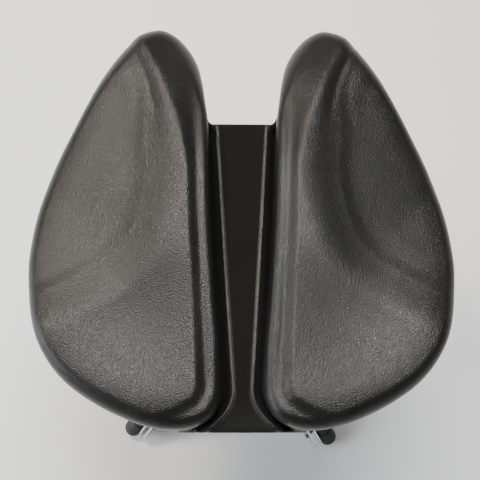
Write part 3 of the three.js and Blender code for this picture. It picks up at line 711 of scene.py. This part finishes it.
def sitting_surface(x, y):
    """A shallow basin for the hips with a raised rear rim, a lower terrace outside and ahead of it for
    each thigh, and horns that fall to the front. Along the channel the lobe rolls down to a valley and a
    bead; on the horn it rolls down from a crest, with a soft crease outside the crest."""
    inner, outer, depth = from_channel(x, y), from_outside(x, y), into_terrace(x, y)
    width = SLOPE_WIDTH - HORN_SLOPE_NARROWER * step(y, *HORN_SLOPE_SPAN)
    drop = TERRACE_DROP * (1 - HORN_TERRACE_LOSS * step(y, *HORN_TERRACE_SPAN))
    outward = TERRACE_TILT * np.clip(depth - width / 2, 0, TILT_REACH)
    terrace = drop * step(depth, -width, width) + outward * step(depth, -width / 2, 40)
    edge_width = EDGE_ROLL_WIDTH + REAR_ROLL_WIDER * step(-y, *REAR_ROLL_SPAN)
    height = (SEAT_HEIGHT
              + RIM_RISE * (1 - step(outer, 20, 80)) * step(-y, *BASIN_RIM_SPAN)
              - EDGE_ROLL * np.clip(1 - outer / edge_width, 0, 1) ** 2
              - BASIN_DEPTH * (1 - step(np.hypot(x - BASIN_X, y - BASIN_Y), 0, BASIN_RADIUS))
              - HORN_FALL * step(y, *HORN_FALL_SPAN)
              - TIP_FALL * step(y, *TIP_SPAN) ** 1.5
              - terrace)
    horn = step(y, *HORN_SPAN)
    rear = 1 - REAR_ROLL_LOSS * step(-y, *REAR_RIM_SPAN)
    rear_wider = REAR_VALLEY_WIDER * step(-y, *REAR_VALLEY_SPAN)
    foot_of_roll = VALLEY + rear_wider - HORN_VALLEY_NARROWER * step(y, *HORN_VALLEY_SPAN)
    top_of_roll = ROLL_TOP + rear_wider + HORN_CREST_WIDER * horn
    roll = ROLL_DEPTH * (1 + HORN_ROLL_MORE * horn) * rear * (1 - step(inner, foot_of_roll, top_of_roll))
    crease = CREASE_DEPTH * step(y, *CREASE_SPAN) * bell(depth, 1, 4)
    bead = BEAD_HEIGHT * (1 - horn) * rear * bell(inner, BEAD_INSET, BEAD_WIDTH)
    return height - roll - crease + bead + CREST_HEIGHT * horn * bell(depth, -CREST_OUT, 8)


def channel_floor(x, y):
    """The floor between the lobes rises to the rear. A wide flat spine stands up on it, which narrows to
    the rear and then flares into the rear rim, with a groove between the spine and each wall."""
    floor = FLOOR_HEIGHT + FLOOR_RISE * step(-y, -120, 40) + REAR_FLOOR_RISE * step(-y, *HORN_SPAN)
    behind_front = np.clip((WEB_FRONT - y) / SPINE_LENGTH, 0, 1)
    flare = SPINE_FLARE * np.clip((FLARE_Y - y) / FLARE_LENGTH, 0, 1) ** 2
    spine = SPINE_HALF_WIDTH - SPINE_NARROWING * behind_front ** 1.2 + flare
    lip = LIP_HEIGHT * bell(x, spine - LIP_INSET, LIP_WIDTH)
    groove = GROOVE_DEPTH * step(x, spine - GROOVE_INSET, spine + GROOVE_WIDTH)
    return floor + lip * step(WEB_FRONT - y, 20, 90) - groove * step(WEB_FRONT - y, 0, 14)


def cushion(x, y, z):
    x = np.abs(x)
    edge, inner = lobe_edge(x, y), from_channel(x, y)
    radius = (WALL_EDGE + OUTER_EDGE_MORE * step(inner, 14, 50) + TIP_EDGE_MORE * step(y, 110, 200)
              + REAR_EDGE_MORE * step(-y, *REAR_EDGE_SPAN))
    tuck = TUCK * step(TUCK_TOP - z, 0, TUCK_HEIGHT) ** 2
    swell = RIM_SWELL + THIGH_SWELL * step(inner, 40, 90) * bell(y, THIGH_SWELL_Y, THIGH_SWELL_WIDTH)
    lobe = round_max(edge + tuck - swell, z - sitting_surface(x, y), radius)
    corner = np.clip(x - (WEB_CORNER - NOTCH_FILLET), 0, NOTCH_FILLET)
    front = WEB_FRONT + NOTCH_FILLET - np.sqrt(NOTCH_FILLET ** 2 - corner ** 2)
    sides = np.maximum(x - WEB_HALF_WIDTH - WEB_REAR_WIDER * step(-y, 188, 215), WEB_REAR - y + tuck)
    web = round_max(round_max(sides, y - front + tuck, 4), z - channel_floor(x, y), 5)
    body = round_max(blend_min(lobe, web, 3), FOAM_BOTTOM - z, 3)
    return np.maximum(body, -np.maximum(pan_edge(x, y) - PAN_PLAY, z - PAN_TOP - CLEARANCE))


grid = [spaced(-234, 2.4, -66, 1.3, 66, 2.4, 234), spaced(-234, 2.2, 234),
        spaced(FOAM_BOTTOM - 2, 2.4, 464, 1.5, FOAM_BOTTOM + 96)]
seat = piece("saddle_cushion", surface(cushion, grid), seat_at, "seat_cushion", sharp=60)
piece("plywood_pan", plate(pan_curve, PAN_BOTTOM, PAN_TOP, 1.2), seat_at, "seat_pan")


# ---------------- castings
def block_grid(low, high, pitch):
    return [spaced(a - pitch, pitch, b + pitch) for a, b in zip(low, high)]


def wing_boss(x, y, z, body):
    """A boss to the rear with its threaded hole, joined on to a casting."""
    body = blend_min(body, cylinder(x, z, -y, BOSS_RADIUS, BOSS_START, BOSS_REACH, 1), 3)
    hole = cylinder(x, z, -y, SCREW_RADIUS + CLEARANCE, BOSS_START - 8, BOSS_REACH + 7)
    return cut(body, hole, 0.6)


def leg_collar(x, y, z):
    radius = np.hypot(x, y)
    body = round_max(radius - COLLAR_RADIUS, np.abs(z) - COLLAR_HEIGHT / 2, 2)
    for azimuth in LEG_AZIMUTHS:
        u, v = turned_about(azimuth, x, y)
        lug = link(u, z, v, COLLAR_BORE + 2, HUB_RADIUS, LUG_RADIUS, BAR_GAP / 2 - LUG_PLAY)
        body = blend_min(body, lug, 2)
    return round_max(wing_boss(x, y, z, body), COLLAR_BORE - radius, 0.8)


def lower_hub(x, y, z):
    """A fork for each brace."""
    radius = np.hypot(x, y)
    body = round_max(radius - COLLAR_RADIUS, np.abs(z) - LOWER_HUB_HEIGHT / 2, 2)
    slot = np.inf
    for azimuth in LEG_AZIMUTHS:
        u, v = turned_about(azimuth, x, y)
        body = blend_min(body, link(u, z, v, COLLAR_BORE + 2, HUB_RADIUS, LUG_RADIUS, BAR_OUTER, 1), 3)
        gap = np.maximum(np.abs(v) - BRACE_THICKNESS / 2 - LUG_PLAY, COLLAR_RADIUS + 0.5 - u)
        slot = np.minimum(slot, gap)
    return round_max(cut(body, slot, 0.5), COLLAR_BORE - radius, 0.8)


def split_clamp(x, y, z, radius, bore, bolt_x, half, ear_width, ear_thickness, gap):
    """A split ring about Z with two ears towards +X and a cross hole for the bolt."""
    around = np.hypot(x, y)
    body = round_max(around - radius, np.abs(z) - half, 2)
    body = blend_min(body, link(x, z, y, 12, bolt_x, ear_width / 2, ear_thickness / 2, 1.2), 3)
    body = round_max(body, bore - around, 0.6)
    return cut(body, np.maximum(np.abs(y) - gap / 2, -x), 0.4)


def height_clamp(x, y, z):
    body = split_clamp(x, y, z, CLAMP_RADIUS, POST_RADIUS + CLEARANCE, CLAMP_BOLT_X, CLAMP_HALF,
                       EAR_WIDTH, EAR_THICKNESS, CLAMP_SPLIT)
    inside = TUBE_TOP + BUSH_RIM + 0.5 - CLAMP_MIDDLE
    body = cut(body, np.maximum(np.hypot(x, y) - COLLAR_BORE, z - inside), 0.4)
    return cut(body, np.hypot(x - CLAMP_BOLT_X, z) - SCREW_RADIUS - CLEARANCE, 0.5)


def memory_lock(x, y, z):
    body = split_clamp(-x, y, z, LOCK_RADIUS, POST_RADIUS + CLEARANCE, -LOCK_SCREW_X, LOCK_HALF,
                       2 * LOCK_HALF - 2, LOCK_EAR_THICKNESS, LOCK_SPLIT)
    return cut(body, np.hypot(x - LOCK_SCREW_X, z) - PIN_RADIUS - CLEARANCE, 0.5)


def seat_mount(x, y, z):
    """A plate with a socket for the post, four ribs and a boss for the wing bolt."""
    under = PLATE_TOP - PLATE_THICKNESS
    radius = np.hypot(x, y)
    side = round_max(np.abs(x) - PLATE_LENGTH / 2, np.abs(y) - PLATE_WIDTH / 2, PLATE_CORNER)
    body = round_max(side, np.maximum(z - PLATE_TOP, under - z), 1)
    socket = round_max(radius - SOCKET_RADIUS, np.maximum(z - PLATE_TOP + 1, SOCKET_BOTTOM - z), 2)
    body = blend_min(body, socket, 9)
    rise = (under - SOCKET_BOTTOM - 14) / (RIB_REACH - SOCKET_RADIUS)
    for azimuth in RIB_AZIMUTHS:
        u, v = turned_about(azimuth, x, y)
        below = (SOCKET_BOTTOM + 12 + rise * (u - SOCKET_RADIUS) - z) / math.hypot(1, rise)
        rib = np.maximum(np.maximum(below, SOCKET_RADIUS - 3 - u), np.maximum(u - RIB_REACH, z - under - 1))
        body = blend_min(body, round_max(rib, np.abs(v) - RIB_HALF_THICKNESS, 1), 2.5)
    body = wing_boss(x, y, z - SOCKET_BOTTOM - SEAT_BOLT_RISE, body)
    return cut(body, np.maximum(radius - POST_RADIUS - CLEARANCE, z - POST_TOP - CLEARANCE), 0.8)


def casting(name, shape, matrix, low, high, pitch, node):
    piece(name, surface(shape, block_grid(low, high, pitch)), matrix, node, sharp=50)


casting("leg_collar_casting", leg_collar, shifted(base_at, z=UPPER_PIVOT),
        (-LUG_REACH, -BOSS_REACH - 1, -15), (LUG_REACH, LUG_REACH, 15), 0.9, "leg_collar")
casting("lower_hub_casting", lower_hub, shifted(base_at, z=LOWER_PIVOT),
        (-LUG_REACH, -LUG_REACH, -12), (LUG_REACH, LUG_REACH, 12), 0.9, "lower_hub")
casting("height_clamp_casting", height_clamp, shifted(base_at, z=CLAMP_MIDDLE),
        (-CLAMP_RADIUS, -CLAMP_RADIUS, -20), (CLAMP_BOLT_X + EAR_WIDTH / 2, CLAMP_RADIUS, 20), 0.8,
        "height_clamp")
casting("memory_lock_casting", memory_lock, shifted(base_at, z=LOCK_MIDDLE),
        (LOCK_SCREW_X - 8, -LOCK_RADIUS, -8), (LOCK_RADIUS, LOCK_RADIUS, 8), 0.7, "memory_lock")
casting("seat_mount_casting", seat_mount, post_at, (-PLATE_LENGTH / 2, -PLATE_WIDTH / 2, SOCKET_BOTTOM),
        (PLATE_LENGTH / 2, PLATE_WIDTH / 2, PLATE_TOP), 1.1, "seat_mount")


# ---------------- tubes, plugs and bushes
def hollow(inner, outer, start, end, edge):
    return turned_tube(rounded(outer, start, end, edge) + [(inner, end), (inner, start)], 96)


piece("chromed_main_tube", hollow(TUBE_BORE, TUBE_RADIUS, TUBE_BOTTOM, TUBE_TOP, 0.5), base_at, "main_tube")
piece("chromed_post", hollow(POST_BORE, POST_RADIUS, POST_BOTTOM, POST_TOP, 0.6), base_at, "post_tube")
top, bottom = TUBE_TOP + BUSH_RIM, TUBE_TOP - BUSH_DEPTH
inside, outside, seated = POST_RADIUS + CLEARANCE, TUBE_BORE - CLEARANCE, TUBE_TOP + CLEARANCE
bush = turned_tube([(inside, bottom), (outside, bottom), (outside, seated), (TUBE_RADIUS, seated),
                    (TUBE_RADIUS, top - 0.5), (TUBE_RADIUS - 0.5, top),
                    (inside + 0.5, top), (inside, top - 0.5)], 96)
piece("nylon_bush", bush, base_at, "clamp_bushing")
bottom, seated = TUBE_BOTTOM - CAP_THICKNESS, TUBE_BOTTOM - CLEARANCE
cap = [(0, bottom - 0.4), (9, bottom - 0.2)] + rounded(TUBE_RADIUS, bottom, seated, 2)[:5]
cap += [(TUBE_RADIUS, seated), (outside, seated), (outside, TUBE_BOTTOM + CAP_DEPTH),
        (0, TUBE_BOTTOM + CAP_DEPTH)]
piece("tube_end_plug", turned(cap), base_at, "tube_end_cap")
bottom, seated, inside = POST_BOTTOM - GUIDE_HEIGHT, POST_BOTTOM - CLEARANCE, POST_BORE - CLEARANCE
guide = [(0, bottom)] + rounded(outside, bottom, seated, 1.5)
guide += [(inside, seated), (inside, POST_BOTTOM + GUIDE_DEPTH), (0, POST_BOTTOM + GUIDE_DEPTH)]
piece("post_guide_plug", turned(guide), base_at, "post_plug")


# ---------------- fasteners
def threaded(radius, start, end, pitch=1.25):
    """A screw thread as a turned profile, with its tip chamfered at start."""
    profile = [(0, start), (radius - 1, start), (radius - 0.2, start + 0.8)]
    turn = start + 0.8 + pitch / 2
    while turn < end - pitch / 2:
        profile += [(radius - 0.75, turn), (radius - 0.05, turn + pitch / 2)]
        turn += pitch
    return turned(profile + [(radius, end), (0, end)], 32)


def hexagon(x, y, z, across, start, end):
    """A hexagon head about Z, chamfered round its end."""
    side = np.maximum(np.abs(x), np.abs(x) / 2 + np.abs(y) * math.sqrt(3) / 2) - across / 2
    chamfer = (np.hypot(x, y) - across / 2 + (z - end) * 1.7) / 2
    return round_max(np.maximum(side, chamfer), np.maximum(start - z, z - end), 0.35)


def headed_pin(reach):
    """A pin along Y with a domed head on each end."""
    face = reach + CLEARANCE
    dome = [(HEAD_RADIUS * math.cos(a), face + 0.5 + (HEAD_HEIGHT - 0.5) * math.sin(a)) for a in DOME_TURN]
    half = [(PIN_RADIUS, 0), (PIN_RADIUS, face), (HEAD_RADIUS - 0.3, face)] + dome
    return along_y(turned([(r, -z) for r, z in half[::-1]] + half[1:], 36))


def half_rivet(side):
    """A rivet with its head outside one bar and its shank flush inside it."""
    face = BAR_OUTER + CLEARANCE
    dome = [(RIVET_HEAD_RADIUS * math.cos(a), face + 0.4 + (HEAD_HEIGHT - 0.4) * math.sin(a))
            for a in DOME_TURN]
    profile = [(0, BAR_GAP / 2), (RIVET_RADIUS, BAR_GAP / 2), (RIVET_RADIUS, face),
               (RIVET_HEAD_RADIUS - 0.3, face)] + dome
    points, faces = along_y(turned(profile, 36))
    return points * [side, side, 1], faces


def wing_bolt_head(x, y, z):
    body = cylinder(y, z, x, WING_FLANGE, 0, 2.4, 0.7)
    body = blend_min(body, cylinder(y, z, x, WING_HUB, 0, WING_NECK + 4, 3), 2)
    for side in (1, -1):
        u, v = turned_about(-side * WING_TILT, x - WING_NECK - 1, y - side * WING_OFFSET)
        share = np.hypot(u / WING_HALF_HEIGHT, v / WING_HALF_WIDTH)
        slope = np.hypot(u / WING_HALF_HEIGHT ** 2, v / WING_HALF_WIDTH ** 2)
        edge = (share - 1) * share / np.maximum(slope, 1e-3)
        dished = WING_HALF_THICKNESS - 0.7 * (1 - step(share, 0.35, 0.9))
        body = blend_min(body, round_max(edge, np.abs(z) - dished, 1.2), 2.5)
    return body


def wing_bolt(name, length, matrix, node):
    """A wing bolt along +X: its face bears at x = 0, and its screw reaches to x = -length."""
    head = surface(wing_bolt_head, block_grid((0, -27, -8), (22, 27, 8), 0.6))
    piece(name, together(head, along_x(threaded(SCREW_RADIUS, -length, 0.5))), matrix, node, sharp=50)


bolt_face = BOSS_REACH + CLEARANCE
rearward = Matrix.Rotation(-math.pi / 2, 4, "Z")
wing_bolt("collar_thumbscrew", bolt_face - COLLAR_BORE,
          shifted(base_at, y=-bolt_face, z=UPPER_PIVOT) @ rearward, "collar_wing_bolt")
wing_bolt("seat_thumbscrew", bolt_face - POST_RADIUS - CLEARANCE,
          shifted(post_at, y=-bolt_face, z=SOCKET_BOTTOM + SEAT_BOLT_RISE) @ rearward, "seat_wing_bolt")
ear_face = EAR_THICKNESS / 2 + CLEARANCE
wing_bolt("height_thumbscrew", CLAMP_BOLT_LENGTH,
          shifted(base_at, CLAMP_BOLT_X, ear_face, CLAMP_MIDDLE) @ Matrix.Rotation(math.pi / 2, 4, "Z"),
          "height_wing_bolt")


def clamp_nut(x, y, z):
    """A hexagon nut along Y, chamfered on its outer face."""
    body = hexagon(x, z, -y, NUT_ACROSS, 0, NUT_THICKNESS)
    return cut(body, np.hypot(x, z) - SCREW_RADIUS - 0.1, 0.4)


casting("clamp_hex_nut", clamp_nut, shifted(base_at, CLAMP_BOLT_X, -ear_face, CLAMP_MIDDLE),
        (-8, -NUT_THICKNESS, -8), (8, 0, 8), 0.45, "clamp_nut")


def drum_key_head(x, y, z):
    """A square head on a round flange."""
    return blend_min(slab(x, z, y + 12.4, 3, 3, 3.5, 0.5), cylinder(x, z, y, 5, -10.4, -8.9, 0.4), 0.8)


screw = together(surface(drum_key_head, block_grid((-5, -16, -5), (5, -8.5, 5), 0.4)),
                 along_y(threaded(PIN_RADIUS, -9.2, 10)))
piece("lock_drum_key_screw", screw, shifted(base_at, LOCK_SCREW_X, z=LOCK_MIDDLE), "lock_screw")


def flange_bolt_head(x, y, z):
    """A hexagon head with a flange, upside down under the mount's plate."""
    head = hexagon(x, y, -z, SMALL_HEX, CLEARANCE, CLEARANCE + SMALL_HEX_HEIGHT)
    return blend_min(head, cylinder(x, y, z, 6.2, -1.7, -CLEARANCE, 0.4), 0.8)


flange_shank = [(0, -1), (PIN_RADIUS, -1), (PIN_RADIUS, MOUNT_BOLT_DEPTH), (0, MOUNT_BOLT_DEPTH)]
flange_bolt = together(surface(flange_bolt_head, block_grid((-7, -7, -4.5), (7, 7, 0), 0.4)),
                       turned(flange_shank, 24))
for i, (side_x, side_y) in enumerate(((1, 1), (-1, 1), (-1, -1), (1, -1))):
    bolt_at = shifted(post_at, side_x * MOUNT_BOLT_X, side_y * MOUNT_BOLT_Y, PLATE_TOP - PLATE_THICKNESS)
    piece(f"seat_flange_bolt_{i + 1}", flange_bolt, bolt_at, f"mount_bolt_{i + 1}")

pin = turned([(0, 0.5 - COLLAR_RADIUS)] + rounded(2, 0.5 - COLLAR_RADIUS, COLLAR_RADIUS - 0.5, 0.6)
             + [(0, COLLAR_RADIUS - 0.5)], 24)
piece("hub_spring_pin", along_x(pin), shifted(base_at, z=LOWER_PIVOT), "hub_roll_pin")


# ---------------- legs, braces and feet
def foot(side):
    """A moulded rubber foot along +X beside the bars, with a round end, a neck ring and a flat tread."""
    def shape(x, y, z):
        v = y - side * FOOT_OFFSET
        slimmer = 0.9 * step(-x, 16, 22) + 0.7 * step(-x, 30, FOOT_BACK) + 0.9 * bell(x, -20, 1.3)
        body = np.sqrt(np.maximum(x, 0) ** 2 + v ** 2 + z ** 2) - FOOT_RADIUS + slimmer
        body = round_max(body, -FOOT_BACK - x, 3)
        body = round_max(body, -side * v - FOOT_FLANK, 0.8)
        tread = math.sin(LEG_PITCH) * x - math.cos(LEG_PITCH) * z - FOOT_CENTRE_HEIGHT
        return round_max(body, tread, 1)

    edges = sorted((side * BAR_OUTER, side * (FOOT_OFFSET + FOOT_RADIUS)))
    return surface(shape, block_grid((-FOOT_BACK, edges[0], -14), (14, edges[1], 14), 0.9))


def foot_bolt(side):
    """A hexagon bolt through the bars into the foot, with its head on the other side."""
    face = BAR_OUTER + CLEARANCE
    end = face + SMALL_HEX_HEIGHT

    def head(x, y, z):
        return hexagon(x, z, -side * y, SMALL_HEX, face, end)

    edges = sorted((-side * face, -side * end))
    start, tip = -face - 1, face + FOOT_BOLT_DEPTH
    points, faces = along_y(turned([(0, start), (PIN_RADIUS, start), (PIN_RADIUS, tip), (0, tip)], 24))
    return together(surface(head, block_grid((-6, edges[0], -6), (6, edges[1], 6), 0.45)),
                    (points * [side, side, 1], faces))


def brace():
    """A flat bar with a boss at its outer end, which stands between the legs' half rivets."""
    reach = BAR_GAP / 2 - CLEARANCE
    boss = [(0, -reach), (BRACE_BOSS, -reach), (BRACE_BOSS, reach), (0, reach)]
    points, faces = along_y(turned(boss, 32))
    return together(bar(0, BRACE_LENGTH, BRACE_WIDTH, 0, BRACE_THICKNESS),
                    (points + [BRACE_LENGTH, 0, 0], faces))


feet = {side: foot(side) for side in (1, -1)}
foot_bolts = {side: foot_bolt(side) for side in (1, -1)}
bar_middle = BAR_OUTER - BAR_THICKNESS / 2
for index, azimuth in enumerate(LEG_AZIMUTHS):
    number = index + 1
    side = -1 if index % 2 == 0 else 1
    spoke = base_at @ Matrix.Rotation(azimuth, 4, "Z")
    leg_at = shifted(spoke, HUB_RADIUS, z=UPPER_PIVOT) @ Matrix.Rotation(LEG_PITCH, 4, "Y")
    for word, way in (("left", 1), ("right", -1)):
        flat = bar(0, LEG_LENGTH - BAR_END_BACK, BAR_WIDTH, way * bar_middle, BAR_THICKNESS)
        piece(f"leg_{number}_flat_{word}", flat, leg_at, f"leg_{number}_bar_{word}")
        piece(f"leg_{number}_brace_rivet_{word}", half_rivet(way), shifted(leg_at, BRACE_LENGTH),
              f"leg_{number}_rivet_{word}")
    piece(f"leg_{number}_hinge_pin", headed_pin(BAR_OUTER), leg_at, f"leg_{number}_pivot_pin")
    piece(f"rubber_foot_{number}", feet[side], shifted(leg_at, LEG_LENGTH), f"foot_{number}", sharp=50)
    piece(f"foot_{number}_hex_bolt", foot_bolts[side], shifted(leg_at, LEG_LENGTH - FOOT_BOLT_BACK),
          f"foot_{number}_bolt")
    strut_at = shifted(spoke, HUB_RADIUS, z=LOWER_PIVOT) @ Matrix.Rotation(-LEG_PITCH, 4, "Y")
    piece(f"brace_{number}_flat", brace(), strut_at, f"brace_{number}")
    piece(f"brace_{number}_hinge_pin", headed_pin(BAR_OUTER), strut_at, f"brace_{number}_pin")

for name, node in frame["nodes"].items():
    node.data.materials.clear()
    node.data.materials.append(LOOKS[SLOTS[name]])


# ---------------- floor, light and camera
def floor():
    """A pale floor that glows more the farther it is from the origin."""
    glow, glow_from, glow_to = (0.05, 0.6), 1.0, 6.0       # strengths, and distances in metres
    bpy.ops.mesh.primitive_plane_add(size=30)
    made = bpy.context.object
    made.name = "floor"
    look, shader, place = new_material("floor", (0.9, 0.9, 0.9), 0.7)
    paint = [(0.3, (0.89, 0.89, 0.89)), (0.7, (0.92, 0.92, 0.92))]
    feed(ramp(noise(place, 3.0), paint), shader.inputs["Base Color"])
    shader.inputs["Emission Color"].default_value = (1, 1, 1, 1)
    away = add(place, "ShaderNodeVectorMath", operation="LENGTH")
    feed(place, away.inputs[0])
    strength = spread_over(away.outputs["Value"], *glow, (glow_from, glow_to))
    feed(strength, shader.inputs["Emission Strength"])
    made.data.materials.append(look)


def area_light(name, where, size, power, color):
    """A rectangular light that looks at the seat: metres and watts."""
    data = bpy.data.lights.new(name, "AREA")
    data.shape = "RECTANGLE"
    data.size, data.size_y = size
    data.energy = power
    data.color = color
    made = bpy.data.objects.new(name, data)
    made.location = where
    made.rotation_euler = (SEAT_POINT - Vector(where)).to_track_quat("-Z", "Y").to_euler()
    bpy.context.scene.collection.objects.link(made)


def studio():
    """A dim room with a pale band round the horizon, which the floor fades into."""
    band = [(0.0, (0.62, 0.62, 0.62)), (0.2, (0.5, 0.5, 0.51)), (0.7, (0.085, 0.087, 0.09))]
    world = bpy.data.worlds.new("studio")
    world.use_nodes = True
    nodes = world.node_tree.nodes
    height = xyz(nodes.new("ShaderNodeTexCoord").outputs["Generated"])[2]
    rise = spread_over(height, 0.0, 1.0, (0.0, 0.5))
    feed(ramp(rise, band), nodes["Background"].inputs["Color"])
    bpy.context.scene.world = world


def photo_camera(where, turns, lens, sensor=36):
    """A camera at a place in millimetres, turned about X, Y and Z by degrees."""
    data = bpy.data.cameras.new("camera")
    data.sensor_width = sensor
    data.lens = lens
    made = bpy.data.objects.new("camera", data)
    about_x, about_y, about_z = (Matrix.Rotation(math.radians(a), 4, axis) for a, axis in zip(turns, "XYZ"))
    made.matrix_world = shifted(Matrix(), *where) @ about_x @ about_y @ about_z
    bpy.context.scene.collection.objects.link(made)
    bpy.context.scene.camera = made


floor()
SEAT_POINT = Vector((0, 0, 0.48))
area_light("overhead", (0.1, 0.85, 3.0), size=(1.25, 1.1), power=94, color=(1.0, 0.99, 0.98))
area_light("left_window", (-1.25, 1.25, 2.8), size=(0.55, 0.55), power=66, color=(1.0, 0.9, 0.74))
area_light("left_side", (-2.3, -0.4, 1.3), size=(1.6, 1.3), power=70, color=(0.9, 0.95, 1.0))
studio()
photo_camera((-23.0, -246.6, 1376.9), turns=(14.18, -1.27, 0.25), lens=63.75)
